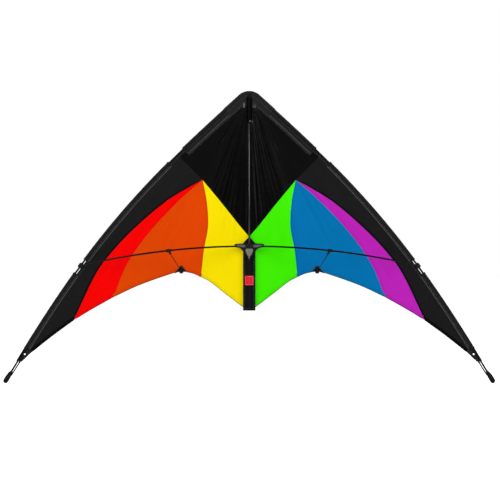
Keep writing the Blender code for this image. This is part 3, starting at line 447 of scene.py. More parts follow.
def rod_material(name, colour, gloss=0.11, roughness=0.28):
    """Pultruded glass-fibre rod, painted black: lengthwise streaks under a hard gloss."""
    made, tree, shader, where = surface(name, roughness, gloss)
    streak = add_node(tree, "ShaderNodeTexNoise", (), {"Vector": where, "Scale": 900.0, "Detail": 2.0})
    shades(tree, shader, streak.outputs[0], colour, 0.75, 1.4)
    relief(tree, shader, streak.outputs[0], 0.00003, 0.5)
    return made


def metal(name, colour, roughness):
    """Drawn brass or enamelled steel: turned in a press, with fine scratches."""
    made, tree, shader, where = surface(name, roughness, 0.5, 1.0)
    scratch = add_node(tree, "ShaderNodeTexNoise", (), {"Vector": where, "Scale": 700.0, "Detail": 3.0})
    shades(tree, shader, scratch.outputs[0], colour, 0.85, 1.1)
    relief(tree, shader, scratch.outputs[0], 0.00002, 0.4)
    return made


def braided(name, colour):
    """Braided elastic cord: a fine herring-bone of textile round a rubber core."""
    made, tree, shader, where = surface(name, 0.8, 0.2)
    plait = add_node(tree, "ShaderNodeTexVoronoi", (), {"Vector": where, "Scale": 1400.0})
    shades(tree, shader, plait.outputs["Distance"], colour, 1.5, 0.6)
    relief(tree, shader, plait.outputs["Distance"], -0.00015, 0.8)
    return made


def thread_material(name, colour):
    """Bonded polyester thread: twisted, with a slight shine."""
    made, tree, shader, where = surface(name, 0.5, 0.35)
    twist = add_node(tree, "ShaderNodeTexNoise", (), {"Vector": where, "Scale": 2500.0})
    shades(tree, shader, twist.outputs[0], colour, 0.8, 1.2)
    return made


FINISHES = {}


def finish_of(key):
    """The material of a piece, made once."""
    if key in FINISHES:
        return FINISHES[key]
    c = colours()
    turns = {"yellow": 8.0, "orange": 28.0, "red": 38.0, "green": -8.0, "blue": -28.0, "purple": -38.0}
    if key in turns:
        made = ripstop(key + " ripstop polyester, calendered", list(getattr(c, key)), turns[key], 0.03)
    elif key.endswith(" hem"):
        # Two more layers of the same cloth let less light through, so a hem looks a shade darker.
        shade = 1.6 if key == "black hem" else 0.93
        colour = [shade * v for v in getattr(c, key[:-4])]
        made = ripstop(key + ", folded ripstop polyester", colour, 0.0, 0.03)
    elif key.endswith(" edge"):
        # The rolled edge is four layers thick, and its far side is in shade.
        made = ripstop(key + ", rolled ripstop polyester", [0.42 * v for v in getattr(c, key[:-5])], 0.0, 0.03)
    elif key.endswith(" thread"):
        if key == "grey thread":
            colour = linear("#6A6A6C")
        elif key == "white thread":
            colour = linear("#E8E6E2")
        else:
            colour = [0.75 * v for v in getattr(c, key[:-7])]
        made = thread_material(key + ", bonded polyester", colour)
    else:
        made = {
            "black": lambda: ripstop("black ripstop polyester, calendered", list(c.black), 0.0, 0.065, 0.24, 0.6),
            # The edge panels' black is lifted a little above the top panel's: painted sheen, for the soft grey glow of
            # that cloth. Its gloss is also stronger, on a rougher, duller face.
            "worn black": lambda: ripstop("black ripstop polyester, uncoated face", linear("#080809"),
                                          0.0, 0.16, 0.34, 0.8),
            "sleeve": lambda: woven("sleeve polyester, plain-woven", list(c.sleeve), 0.0012, 0.55, 0.10),
            "webbing": lambda: woven("nylon webbing, woven", list(c.webbing), 0.0020, 0.72, 0.15),
            "strip": lambda: woven("strip polyester, twill-woven", list(c.strip), 0.0016, 0.68, 0.07),
            # The tape is real, but its pale grey is partly a painted highlight along the sleeve's line.
            "tape": lambda: woven("edge tape polyester, ribbed", linear("#4A4A4C"), 0.0009, 0.6, 0.2),
            "label": lambda: woven("label polyester, satin-woven", list(c.label), 0.0009, 0.6, 0.06, 0.85),
            "rubber": lambda: moulded("fitting rubber, moulded", list(c.rubber), 0.46, 0.0006, 0.15),
            # The shield's pale grey is a painted highlight; the nylon's gloss is real.
            "boss": lambda: moulded("fitting nylon, polished in the mould", linear("#6A6A62"), 0.42, 0.0006, 0.3),
            # The facets' grey-violet is a painted highlight; the nylon's gloss is real.
            "facet": lambda: moulded("fitting nylon, lightly polished", linear("#4E4A50"), 0.42, 0.0006, 0.3),
            "vinyl": lambda: moulded("cap vinyl, dip-moulded", linear("#080808"), 0.36, 0.0009, 0.15),
            "rod": lambda: rod_material("glass-fibre rod, pultruded and painted", list(c.rod)),
            "spine": lambda: rod_material("glass-fibre spine, pultruded and lacquered", linear("#101011"), 0.60, 0.16),
            "brass": lambda: metal("brass tube, drawn", linear("#C8A050"), 0.30),
            "eyelet": lambda: metal("eyelet steel, black enamelled", linear("#3A3A3A"), 0.38),
            "pin": lambda: metal("pin steel, nickel-plated", linear("#C8C8C4"), 0.25),
            "cord": lambda: braided("elastic cord, braided", linear("#090909")),
        }[key]()
    FINISHES[key] = made
    return made


# ---- meshes --------------------------------------------------------------------------------------


def make(name, verts, faces, finish, smooth_angle=45.0):
    mesh = bpy.data.meshes.new(name)
    mesh.from_pydata([tuple(v) for v in verts], [], faces)
    work = bmesh.new()
    work.from_mesh(mesh)
    bmesh.ops.recalc_face_normals(work, faces=work.faces)
    work.to_mesh(mesh)
    work.free()
    mesh.shade_smooth()
    mesh.set_sharp_from_angle(angle=math.radians(smooth_angle))
    mesh.materials.append(finish_of(finish))
    made = bpy.data.objects.new(name, mesh)
    bpy.context.scene.collection.objects.link(made)
    return made


def coons(left, right, top, bottom):
    """A grid of points between four edge lines."""
    v = np.linspace(0, 1, len(left))[:, None, None]
    t = np.linspace(0, 1, len(top))[None, :, None]
    left, right, top, bottom = (np.asarray(line, float) for line in (left, right, top, bottom))
    across = (1 - t) * left[:, None] + t * right[:, None]
    down = (1 - v) * top[None] + v * bottom[None]
    corners = (1 - v) * ((1 - t) * left[0] + t * right[0]) + v * ((1 - t) * left[-1] + t * right[-1])
    return across + down - corners


def shell(front, back):
    """A closed shell between two grids of 3-D points."""
    rows, columns = front.shape[:2]
    size = rows * columns
    index = np.arange(size).reshape(rows, columns)
    a, b, c, d = index[:-1, :-1], index[:-1, 1:], index[1:, 1:], index[1:, :-1]
    near = np.stack([a, b, c, d], axis=-1).reshape(-1, 4)
    border = np.concatenate([index[0], index[1:, -1], index[-1, -2::-1], index[-2:0:-1, 0]])
    after = np.roll(border, -1)
    walls = np.stack([border, after, after + size, border + size], axis=-1)
    faces = np.concatenate([near, near[:, ::-1] + size, walls])
    return np.concatenate([front.reshape(-1, 3), back.reshape(-1, 3)]), faces.tolist()


def cloth(name, grid, side, finish, front=None, back=None, lift=None):
    """A piece of cloth on the sail: `front` and `back` are its faces' distances from the sail's middle."""
    half = sizes().cloth / 2
    front = -half if front is None else front
    back = half if back is None else back
    faces_front = on_cloth(grid, front, side)
    faces_back = on_cloth(grid, back, side)
    if lift is not None:
        faces_front[..., 1] += lift
        faces_back[..., 1] += lift
    return make(name, *shell(faces_front, faces_back), finish)


def straight(start, end, count):
    t = np.linspace(0, 1, count)[:, None]
    return np.asarray(start) * (1 - t) + np.asarray(end) * t


def beside(points, off):
    """A line moved sideways by `off`: positive is to the right of its direction in the (u, z) plane."""
    ahead = np.gradient(points, axis=0)
    ahead /= np.linalg.norm(ahead, axis=1)[:, None]
    return points + np.column_stack([ahead[:, 1], -ahead[:, 0]]) * np.reshape(off, (-1, 1))


def ribbon(points, low, high, columns=4):
    """A grid that follows a line, from `low` to `high` beside it."""
    return np.stack([beside(points, low + (high - low) * k / (columns - 1)) for k in range(columns)], axis=1)


def count_for(length, step=GRID_STEP):
    return max(4, int(length / step) + 1)


THREADS = {}


def sew(points, side, thread, face, off=0.0006, pitch=None, length=0.0023, zigzag=0.0):
    """A row of stitches along a line in the (u, z) plane."""
    pitch = pitch or sizes().pitch
    fine = evenly(np.asarray(points, float), count_for(lengths_along(points)[-1], pitch))
    lay = on_cloth(fine, face * off, side)
    sew_at(lay, side, thread, length, zigzag)


def sew_at(lay, side, thread, length=0.0023, zigzag=0.0):
    """A row of stitches through 3-D points, one stitch at each."""
    radius = sizes().thread
    verts, faces = THREADS.setdefault((side, thread), ([], []))
    ahead = np.gradient(lay, axis=0)
    ahead /= np.linalg.norm(ahead, axis=1)[:, None]
    across = np.cross(ahead, (0.0, 1.0, 0.0))
    across /= np.linalg.norm(across, axis=1)[:, None] + 1e-12
    for k, (middle, along, beside_it) in enumerate(zip(lay, ahead, across)):
        if zigzag:
            along = along + beside_it * (zigzag if k % 2 else -zigzag)
            along = along / np.linalg.norm(along)
            beside_it = np.cross(along, (0.0, 1.0, 0.0))
        up = np.cross(along, beside_it)
        base = len(verts)
        verts.append(middle - along * length / 2)
        for share in (-0.25, 0.25):
            for a, b in ((1, 0), (0, 1), (-1, 0), (0, -1)):
                verts.append(middle + along * length * share + beside_it * radius * a + up * radius * b)
        verts.append(middle + along * length / 2)
        for j in range(4):
            i = (j + 1) % 4
            faces.append((base, base + 1 + i, base + 1 + j))
            faces.append((base + 1 + j, base + 1 + i, base + 5 + i, base + 5 + j))
            faces.append((base + 5 + j, base + 5 + i, base + 9))


def ring_at(centre, along, radius, sides, tall=1.0, up=(0, 0, 1)):
    along = Vector(along).normalized()
    second = (Vector(up) - along * along.dot(Vector(up))).normalized()
    first = along.cross(second)
    angles = [2 * math.pi * (k + 0.5) / sides for k in range(sides)]
    return [Vector(centre) + first * radius * math.cos(a) + second * radius * tall * math.sin(a) for a in angles]


def loft(rings):
    count = len(rings[0])
    verts = [point for ring in rings for point in ring]
    faces = []
    for i in range(len(rings) - 1):
        for k in range(count):
            after = (k + 1) % count
            faces.append((i * count + k, i * count + after, (i + 1) * count + after, (i + 1) * count + k))
    faces.append(tuple(range(count)))
    faces.append(tuple(range((len(rings) - 1) * count, len(rings) * count)))
    return verts, faces


def tube(name, points, radius, finish, sides=24, chamfer=0.0004, up=(0, 0, 1)):
    """A rod along a line, with its ends' rims broken."""
    points = [Vector(p) for p in points]
    radii = [radius] * len(points)
    if chamfer:
        start = (points[1] - points[0]).normalized() * chamfer
        end = (points[-1] - points[-2]).normalized() * chamfer
        points = [points[0], points[0] + start] + points[1:-1] + [points[-1] - end, points[-1]]
        radii = [radius - chamfer] + [radius] * (len(points) - 2) + [radius - chamfer]
    rings = []
    for i, (point, size) in enumerate(zip(points, radii)):
        along = points[min(i + 1, len(points) - 1)] - points[max(i - 1, 0)]
        rings.append(ring_at(point, along, size, sides, up=up))
    return make(name, *loft(rings), finish)


def turned(name, start, along, profile, finish, sides=32):
    """A round piece on an axis: the profile is a list of (distance, radius)."""
    up = (0, 1, 0) if abs(Vector(along).normalized().y) < 0.9 else (0, 0, 1)
    rings = [ring_at(Vector(start) + Vector(along).normalized() * far, along, radius, sides, up=up)
             for far, radius in profile]
    return make(name, *loft(rings), finish, smooth_angle=35.0)


def apply_modifiers(obj):
    graph = bpy.context.evaluated_depsgraph_get()
    graph.update()
    final = bpy.data.meshes.new_from_object(obj.evaluated_get(graph))
    old = obj.data
    obj.modifiers.clear()
    obj.data = final
    bpy.data.meshes.remove(old)
    obj.data.shade_smooth()
    return obj


def soften(obj, voxel, rounds):
    """Melts lofted solids into one moulded body with soft edges."""
    melt = obj.modifiers.new("melt", "REMESH")
    melt.mode = "VOXEL"
    melt.voxel_size = voxel
    melt.use_smooth_shade = True
    even = obj.modifiers.new("even", "SMOOTH")
    even.iterations = rounds
    even.factor = 0.5
    return apply_modifiers(obj)


def place(obj, body, node_names):
    """Rides a finished piece on its body, in place of its CAD nodes."""
    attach(obj, body)
    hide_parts(*node_names)
    return obj


def bend(obj, node_names):
    """Bakes a finished piece's placement into its mesh and hides its CAD nodes; it is not ridden on a body."""
    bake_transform(obj)
    if node_names:
        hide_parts(*node_names)
    return obj


def joint(name):
    return next(j for j in frame["record"]["behaviour"]["joints"] if j["name"] == name)


def rod_ends(node):
    """The middles of a straight CAD rod's two ends, upper one first."""
    points = np.array([v.co for v in frame["nodes"][node].data.vertices], float)
    middle = points.mean(axis=0)
    along = np.linalg.svd(points - middle)[2][0]
    far = (points - middle) @ along
    ends = [points[np.abs(far - limit) < 5e-4].mean(axis=0) for limit in (far.min(), far.max())]
    return sorted(ends, key=lambda p: -p[2])


# ---- the sail ------------------------------------------------------------------------------------


def flat_area(grid, side):
    points = on_cloth(grid, 0.0, side)
    one = np.cross(points[1:, :-1] - points[:-1, :-1], points[:-1, 1:] - points[:-1, :-1])
    two = np.cross(points[1:, :-1] - points[1:, 1:], points[:-1, 1:] - points[1:, 1:])
    return float(np.linalg.norm(one, axis=2).sum() + np.linalg.norm(two, axis=2).sum()) / 2


def panel(side, name, grid, finish):
    made = cloth(side + "_" + name, grid, side, finish)
    made.name = side + "_" + name + "_cloth"
    place(made, side + "_wing", [side + "_" + name])
    area = flat_area(grid, side)
    return made


def edge_hem_depth(s):
    """How far inward of the leading edge the sail's own edge lies."""
    return 0.0082 + 0.0046 * smooth_step(0.40, 0.50, s)


def sail(side):
    start_s = s_at_height(UPPER_SEAM_START_Z)
    edge_top = edge_offset(start_s, edge_hem_depth(start_s))[0]
    upper_seam = straight(edge_top, APEX, 30)
    colour = PANELS[side]

    # Top panel, from the nose down to the seams.
    rows = 120
    centre_seam = smooth_line(SEAM_CENTRE, 110)
    spine_side = straight((0.0, 0.4040), SPINE_SEAM_END, rows)
    below = np.vstack([centre_seam[::-1], upper_seam[::-1][1:]])
    edge_s = np.linspace(0.012, start_s, rows)
    edge_side = edge_offset(edge_s, edge_hem_depth(edge_s))
    top = straight(spine_side[0], edge_side[0], len(below))
    panel(side, "top_panel", coons(spine_side, edge_side, top, below), "black")

    # Edge panel, from the upper seam down to the tip.
    trailing_tip = smooth_line(TRAILING_TIP, 36)
    black = smooth_line(SEAM_BLACK, 120)
    tab_s = s_at_height(TAB_START_Z) + 0.004
    tip_s = edge_coordinates(trailing_tip)[0]
    inside = np.vstack([upper_seam[1:], black[1:], trailing_tip[1:][tip_s[1:] < tab_s + 0.004]])
    outside_s = np.linspace(start_s, tab_s, len(inside))
    outside = edge_offset(outside_s, edge_hem_depth(outside_s))
    columns = 18
    grid = coons(inside, outside, straight(inside[0], outside[0], columns), straight(inside[-1], outside[-1], columns))
    # The edge panel's lifted black is painted sheen.
    panel(side, "edge_panel", grid, "worn black")

    # Three coloured panels that meet at the apex.
    rows = 64
    inner, outer = smooth_line(SEAM_INNER, rows), smooth_line(SEAM_OUTER, rows)
    black = smooth_line(SEAM_BLACK, rows)
    spine_low = straight(SPINE_SEAM_END, TRAILING_INNER[0], rows)
    bottom = smooth_line(TRAILING_INNER, 36)
    top = smooth_line(SEAM_CENTRE[::-1], 36)
    panel(side, colour["inner"] + "_panel", coons(spine_low, inner, top, bottom),
          colour["inner"])
    for place_name, left, right, line, columns in (
        ("middle", inner, outer, TRAILING_MIDDLE, 54), ("outer", outer, black, TRAILING_OUTER, 24)
    ):
        top = np.repeat(np.array([APEX]), columns, axis=0) + straight((0, 0), (1e-5, 0), columns)
        grid = coons(left, right, top, smooth_line(line, columns))
        panel(side, colour[place_name] + "_panel", grid, colour[place_name])


def seams(side):
    """Overlaps at the seams, each sewn down with two rows, and the folded hems of the trailing edge."""
    half = sizes().seam / 2
    colour = PANELS[side]
    rows = [
        ("centre_seam", SEAM_CENTRE, "black hem", "black thread", -half * 0.1, half * 1.7),
        ("inner_seam", SEAM_INNER, colour["middle"] + " hem", colour["middle"] + " thread", -half * 0.2, -half * 1.6),
        ("outer_seam", SEAM_OUTER, colour["outer"] + " hem", colour["outer"] + " thread", -half * 0.2, -half * 1.6),
        ("edge_seam", SEAM_BLACK, "black hem", "black thread", -half * 0.2, -half * 1.6),
    ]
    up = sizes().cloth
    for name, line, finish, thread, low, high in rows:
        points = smooth_line(line, count_for(0.35))
        ends = smooth_step(0, 0.03, lengths_along(points))
        grid = ribbon(points, 0.0, 1.0, 4)
        for column, share in enumerate(np.linspace(low, high, 4)):
            grid[:, column] = beside(points, share * (0.15 + 0.85 * ends))
        made = cloth(side + "_" + name, grid, side, finish, -up * 1.3, up * 1.3)
        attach(made, side + "_wing")
        for off in (0.25, 0.8):
            for face in (FRONT, BACK):
                sew(grid[3:, 0] * (1 - off) + grid[3:, -1] * off, side, thread, face, up * 1.3 + 0.0001)
    hem = sizes().hem
    for name, line, key in (
        ("inner_hem", TRAILING_INNER, colour["inner"]), ("middle_hem", TRAILING_MIDDLE, colour["middle"]),
        ("outer_hem", TRAILING_OUTER, colour["outer"]), ("tip_hem", TRAILING_TIP, "black"),
    ):
        length = lengths_along(smooth_line(line, 60))[-1]
        points = smooth_line(line, count_for(length))
        if name == "tip_hem":
            points = points[: int(len(points) * 0.80)]
        elif name == "outer_hem":
            points = points[:-2]
        grid = ribbon(points, 0.0002, -hem, 5)
        made = cloth(side + "_" + name, grid, side, key + " hem", -up * 1.6, up * 1.6)
        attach(made, side + "_wing")
        rolled = cloth(side + "_" + name + "_edge", ribbon(points, 0.0006, -0.0016, 4), side,
                       key + " edge", -up * 2.3, up * 2.3)
        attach(rolled, side + "_wing")
        for face in (FRONT, BACK):
            sew(grid[:, 0] * 0.15 + grid[:, -1] * 0.85, side, key + " thread", face, up * 1.6 + 0.0001)


def sleeve_path(s, band, side, inset, extra):
    """One face of the folded sleeve, from its front edge round the spar to its back edge.

    `inset` is how far inside the outer face the points lie, and `extra` thickens the hemmed ends.
    """
    bulge, flat = 0.0042 + extra - inset, 0.0008 + extra - inset
    centre_d = EDGE_TO_SPAR - 0.0003
    flat_start = centre_d + 0.0049
    half = [(flat_start + (band - flat_start) * share, flat) for share in (1.0, 0.97, 0.75, 0.5, 0.25, 0.0)]
    for angle in np.radians([32, 50, 68, 86, 104, 122, 140, 158]):
        half.append((centre_d + bulge * math.cos(angle), bulge * math.sin(angle)))
    ring_points = [(d, -h) for d, h in half] + [(centre_d - bulge, 0.0)] + [(d, h) for d, h in half[::-1]]
    depths = np.array([d for d, _ in ring_points])
    places = edge_offset(np.full(len(depths), s), depths)
    on_sail = smooth_step(0.004, 0.011, depths)
    y = FOLD_Y + (cloth_y(places[:, 0], places[:, 1], side) - FOLD_Y) * on_sail
    y += np.array([h for _, h in ring_points])
    return np.column_stack([places[:, 0] * SIGN[side], y, places[:, 1]])


def sleeve(side, name, start, end, band, finish, slot):
    """A sleeve of doubled cloth, folded round the spar and hemmed at both ends."""
    hem = 0.0055
    stations = np.linspace(start + hem + 0.0008, end - hem - 0.0008, count_for(end - start))
    stations = np.concatenate([[start, start + 0.002, start + hem], stations, [end - hem, end - 0.002, end]])
    outer, inner = [], []
    for k, s in enumerate(stations):
        thick = 0.0003 if min(s - start, end - s) <= hem + 1e-6 else 0.0
        pucker = 0.00016 * math.sin(k * 1.31) + 0.00012 * math.sin(k * 0.47 + 1)
        width = band + 0.0003 * math.sin(k * 0.9)
        outer.append(sleeve_path(s, width, side, 0.0, thick + abs(pucker)))
        inner.append(sleeve_path(s, width, side, 0.00035, abs(pucker) * 0.6))
    made = make(side + "_" + name + "_cloth", *shell(np.array(outer), np.array(inner)), finish)
    place(made, side + "_wing", [side + "_" + name])


def sleeves(side):
    band_u, band_l = sizes().band_upper, sizes().band_lower
    upper_end, middle_start = (s_at_height(z) for z in UPPER_GAP_Z)
    middle_end, lower_start = (s_at_height(z) for z in LOWER_GAP_Z)
    sleeve_end = s_at_height(SLEEVE_END_Z)
    for name, start, end, band in (
        ("upper_sleeve", NOSE_PATCH_LENGTH - 0.004, upper_end, band_u),
        ("middle_sleeve", middle_start, middle_end, band_l),
        ("lower_sleeve", lower_start, sleeve_end, band_l),
    ):
        sleeve(side, name, start, end, band, "sleeve", "sleeve_cloth")
        s = np.linspace(start + 0.002, end - 0.002, count_for(end - start))
        for inward in (band - 0.0020, band - 0.0062, 0.0118):
            line = edge_offset(s, inward)
            for face in (FRONT, BACK):
                sew(line, side, "grey thread", face, 0.0010)
        # A raised tape along each sleeve; its pale grey also paints the highlight along that line.
        tape_d = band - (0.0065 if band > 0.02 else 0.0012)
        grid = np.stack([edge_offset(s, tape_d - 0.0007 + 0.0014 * k / 3) for k in range(4)], axis=1)
        tape = cloth(side + "_" + name + "_tape", grid, side, "tape", -0.00135, 0.00135)
        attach(tape, side + "_wing")
        for where in (start + 0.0016, end - 0.0016):
            line = edge_offset(np.full(6, where), np.linspace(0.0115, band - 0.001, 6))
            for face in (FRONT, BACK):
                sew(line, side, "grey thread", face, 0.0010)
    # The sail's own edge is bound where the sleeve is cut away.
    for name, start, end in (("upper_gap_binding", upper_end, middle_start),
                             ("lower_gap_binding", middle_end, lower_start)):
        s = np.linspace(start - 0.006, end + 0.006, 14)
        depth = edge_hem_depth(s)
        first = 0.0071 - depth if name.startswith("upper") else 0.0089 - depth
        grid = np.stack([edge_offset(s, depth + first + (0.0048 - first) * k / 3) for k in range(4)], axis=1)
        made = cloth(side + "_" + name, grid, side, "sleeve", -0.0006, 0.0006)
        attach(made, side + "_wing")
        sew(edge_offset(s, depth + 0.0034), side, "grey thread", FRONT, 0.0008)


# ---- nose, spine strip and label -----------------------------------------------------------------


def nose(side):
    """The webbing chevron that is folded over both spars' ends, half of it on each wing."""
    top = np.array([(0.0, 0.4082), (0.0045, 0.4081), (0.0090, 0.4074), (0.0135, 0.4060), (0.0180, 0.4038)])
    s = np.linspace(0.001, NOSE_PATCH_LENGTH, 16)
    outer = np.vstack([top, edge_offset(s, -0.0006)])
    inner_line = np.vstack([edge_offset(s, 0.0285)])
    inner_line = inner_line[inner_line[:, 0] > 0.0004]
    inner_line = np.vstack([[(0.0, inner_line[0, 1] + 0.0015)], inner_line])
    count = 30
    outer, inner_line = evenly(outer, count), evenly(inner_line, count)
    shares = [0.0, 0.03, 0.07, 0.12, 0.18, 0.25, 0.32, 0.40, 0.55, 0.75, 0.9, 1.0]
    grid = np.stack([outer * (1 - k) + inner_line * k for k in shares], axis=1)
    width = np.linalg.norm(inner_line - outer, axis=1)[:, None] * np.array(shares)[None, :]
    # Half-depth: a bulge over the spar, then two layers of webbing flat on the sail.
    bulge = np.sqrt(np.maximum(0.0047**2 - np.minimum(np.abs(width - 0.0048), 0.0047) ** 2, 0.0))
    half = np.maximum(np.minimum(bulge, 0.0047), 0.0013)
    half[:, 0] = 0.0004
    # Over the spine the webbing stands out as a pocket in front.
    pocket = 0.0070 * (1 - smooth_step(0.0025, 0.0095, grid[..., 0]))
    middle = sail_y(grid[..., 0], grid[..., 1])
    x = grid[..., 0] * SIGN[side]
    front = np.stack([x, middle - np.maximum(half, pocket * (half > 0.0005)), grid[..., 1]], axis=-1)
    back = np.stack([x, middle + half, grid[..., 1]], axis=-1)
    made = make(side + "_nose_patch", *shell(front, back), "webbing")
    bend(made, [side + "_nose_flap"])
    # Two rows of thread along the chevron's edges.
    for column in (7, 10):
        for face in (FRONT, BACK):
            line = (front if face == FRONT else back)[2:, column]
            line = evenly(line, count_for(lengths_along(line)[-1], sizes().pitch))
            line[:, 1] += face * 0.00015
            sew_at(line, side, "grey thread")


def spine_pocket():
    """The tape that holds the spine's top end against the sail below the nose patch."""
    half, bottom, top = 0.0075, 0.3262, 0.3900
    x = np.linspace(-half, half, 17)
    z = np.linspace(bottom, top, 24)
    grid_x, grid_z = np.meshgrid(x, z)
    hump = 0.0105 - 0.0096 * smooth_step(0.0028, half, np.abs(grid_x))
    front = np.stack([grid_x, FOLD_Y - hump, grid_z], axis=-1)
    back = front + np.array([0.0, 0.0006, 0.0])
    made = make("spine_pocket", *shell(front, back), "black hem")
    place(made, "centre", ["nose_pocket"])
    for where in (0.0026, 0.0074):
        for row in range(3):
            y = FOLD_Y - (0.0105 - 0.0096 * smooth_step(0.0028, half, where)) - 0.0003
            line = np.array([(where - 0.0007, y, 0.3275 + 0.0007 * row), (where, y, 0.3275 + 0.0007 * row),
                             (where + 0.0007, y, 0.3275 + 0.0007 * row)])
            sew_at(line, "centre", "white thread", 0.0012)
    for sign in (-1, 1):
        line = straight((sign * 0.0066, FOLD_Y - 0.0016, bottom + 0.002), (sign * 0.0066, FOLD_Y - 0.0016, 0.382), 18)
        sew_at(line, "centre", "grey thread")


def bar_tacks(side):
    """Close zigzag stitches at the nose patch's inner corners, in a lighter thread."""
    for u in (0.0085, 0.0118, 0.0150):
        line = straight((u, 0.3765), (u + 0.0006, 0.3655), 9)
        lay = on_cloth(line, -0.0012, side)
        sew_at(lay, side, "white thread" if u > 0.009 else "grey thread", 0.0017, 0.5)


def strip_section(x, hump):
    """How far the strip's front stands off, at a distance from the spine."""
    return STRIP_BACK_Y - 0.0007 - hump * (0.5 + 0.5 * np.cos(math.pi * np.clip(np.abs(x) / 0.0160, 0, 1)))


def tail_strip(side):
    half_width = 0.0163
    pieces = (
        ("strip_top", np.linspace(0.0240, STRIP_POCKET_Z, 26), 0.0),
        ("strip_pocket", np.linspace(STRIP_POCKET_Z, STRIP_TAIL_Z, 46), 0.0095),
    )
    for name, heights, hump in pieces:
        columns = np.linspace(0.0, 1.0, 15)
        width = np.minimum(half_width, 0.0006 + np.maximum(0.0245 - heights, 0.0) * 0.97)
        x = width[:, None] * columns[None, :]
        z = np.repeat(heights[:, None], len(columns), axis=1)
        sag = 0.00025 * np.sin(z / 0.0065) * smooth_step(0.004, 0.012, x)
        y = strip_section(x, hump) - (0.0 if hump else 0.0004) - sag * (1.0 if hump else 0.3)
        if hump:
            # The pocket's mouth flares a little, and its foot is folded up into a hem.
            fold = 1 - smooth_step(STRIP_TAIL_Z + 0.0055, STRIP_TAIL_Z + 0.0068, z)
            y = y - 0.0005 * fold
        front = np.stack([x * SIGN[side], y, z], axis=-1)
        back = front + np.array([0.0, 0.0008, 0.0])
        made = make(side + "_" + name, *shell(front, back), "strip")
        bend(made, ["tail_strip"])
        rows = [front[:, -2]] if not hump else [front[:, -2], front[:, -5]]
        for line in rows:
            line = evenly(line, count_for(lengths_along(line)[-1], sizes().pitch)).copy()
            line[:, 1] -= 0.0002
            sew_at(line, side + " strip", "grey thread")
        if hump:
            row = int(np.argmin(np.abs(heights - (STRIP_TAIL_Z + 0.0048))))
            line = evenly(front[row, 1:], 6).copy()
            line[:, 1] -= 0.0002
            sew_at(line, side + " strip", "grey thread")


def label(side):
    """A plain red label with a stitched border, made in two halves, one each side of the spine, like the strip beneath.
    """
    half_width, half_height = 0.0115, 0.0125
    x = np.linspace(0.0, half_width, 13)
    z = np.linspace(LABEL_Z - half_height, LABEL_Z + half_height, 22)
    grid_x, grid_z = np.meshgrid(x, z)
    y = strip_section(grid_x, 0.0095) - 0.0011 + 0.0001 * np.sin(grid_z / 0.0018)
    front = np.stack([grid_x * SIGN[side], y, grid_z], axis=-1)
    back = front + np.array([0.0, 0.0007, 0.0])
    made = make(side + "_woven_label", *shell(front, back), "label")
    bend(made, ["woven_label"])
    inset = 0.0022
    corner = [(0.0, LABEL_Z + half_height - inset), (half_width - inset, LABEL_Z + half_height - inset),
              (half_width - inset, LABEL_Z - half_height + inset), (0.0, LABEL_Z - half_height + inset)]
    for start, end in zip(corner[:-1], corner[1:]):
        line = straight(start, end, count_for(math.dist(start, end), 0.0016))
        depth = strip_section(line[:, 0], 0.0095) - 0.00135
        lay = np.column_stack([line[:, 0] * SIGN[side], depth, line[:, 1]])
        sew_at(lay, side + " strip", "white thread", 0.0014)


# ---- rods and fittings ---------------------------------------------------------------------------


def spine():
    upper, lower = rod_ends("spine_rod")
    made = tube("spine", [upper, lower], sizes().spine, "spine", up=(0, 1, 0))
    place(made, "centre", ["spine_rod"])
    for node in ("spine_top_cap", "spine_tail_cap"):
        frame["nodes"][node].data.materials.clear()
        frame["nodes"][node].data.materials.append(finish_of("vinyl"))


def spars(side):
    split = s_at_height(FERRULE_Z)
    end = s_at_height(TIP_CAP_Z) + 0.0205
    for name, start, stop in (("upper_spar", 0.0055, split - 0.0002), ("lower_spar", split + 0.0002, end)):
        line = edge_offset(np.linspace(start, stop, 40), EDGE_TO_SPAR)
        points = [(u * SIGN[side], FOLD_Y, z) for u, z in line]
        made = tube(side + "_" + name.replace("spar", "rod"), points, sizes().spar, "rod", up=(0, 1, 0))
        place(made, side + "_wing", [side + "_" + name])
    ferrule = frame["nodes"][side + "_spar_ferrule"]
    ferrule.data.materials.clear()
    ferrule.data.materials.append(finish_of("brass"))


def bow_points(side, count=60):
    """The cross rod's arc, turned about the centre that the frame gives for its slide."""
    slide = joint(side + "_spreader_slide")
    centre, axis = Vector(slide["pos_m"]), Vector(slide["axis"]).normalized()
    start = Vector((SIGN[side] * 0.0163, SPINE_Y, 0.0)) - centre
    low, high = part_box(side + "_spreader_rod")
    reach = max(abs(low.x), abs(high.x)) - 0.0008
    angles = np.linspace(0, math.radians(26), 400)
    xs = [abs((Matrix.Rotation(a, 3, axis) @ start + centre).x) for a in angles]
    end = float(np.interp(reach, xs, angles))
    return [Matrix.Rotation(a, 3, axis) @ start + centre for a in np.linspace(0, end, count)]


def cross_rod(side):
    made = tube(side + "_cross_rod", bow_points(side), sizes().rod, "rod")
    place(made, side + "_spreader", [side + "_spreader_rod"])


def standoff(side):
    body = side + "_standoff"
    upper, lower = rod_ends(side + "_standoff_rod")
    made = tube(side + "_standoff_pin", [upper, lower], 0.00100, "rod", sides=16, chamfer=0.0002, up=(1, 0, 0))
    place(made, body, [side + "_standoff_rod"])
    for piece in ("standoff_clip", "standoff_foot"):
        made = moulded_copy(side + "_" + piece, side + "_" + piece + "_moulding", 0.00042)
        place(made, body, [side + "_" + piece])
    # The clip's socket, which takes the pin's top end.
    down = (Vector(lower) - Vector(upper)).normalized()
    profile = [(0.0, 0.0022), (0.0004, 0.0028), (0.0070, 0.0027), (0.0074, 0.0031), (0.0094, 0.0031), (0.0099, 0.0026),
               (0.0099, 0.0013)]
    socket = turned(side + "_standoff_socket", Vector(upper), down, profile, "rubber")
    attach(socket, body)


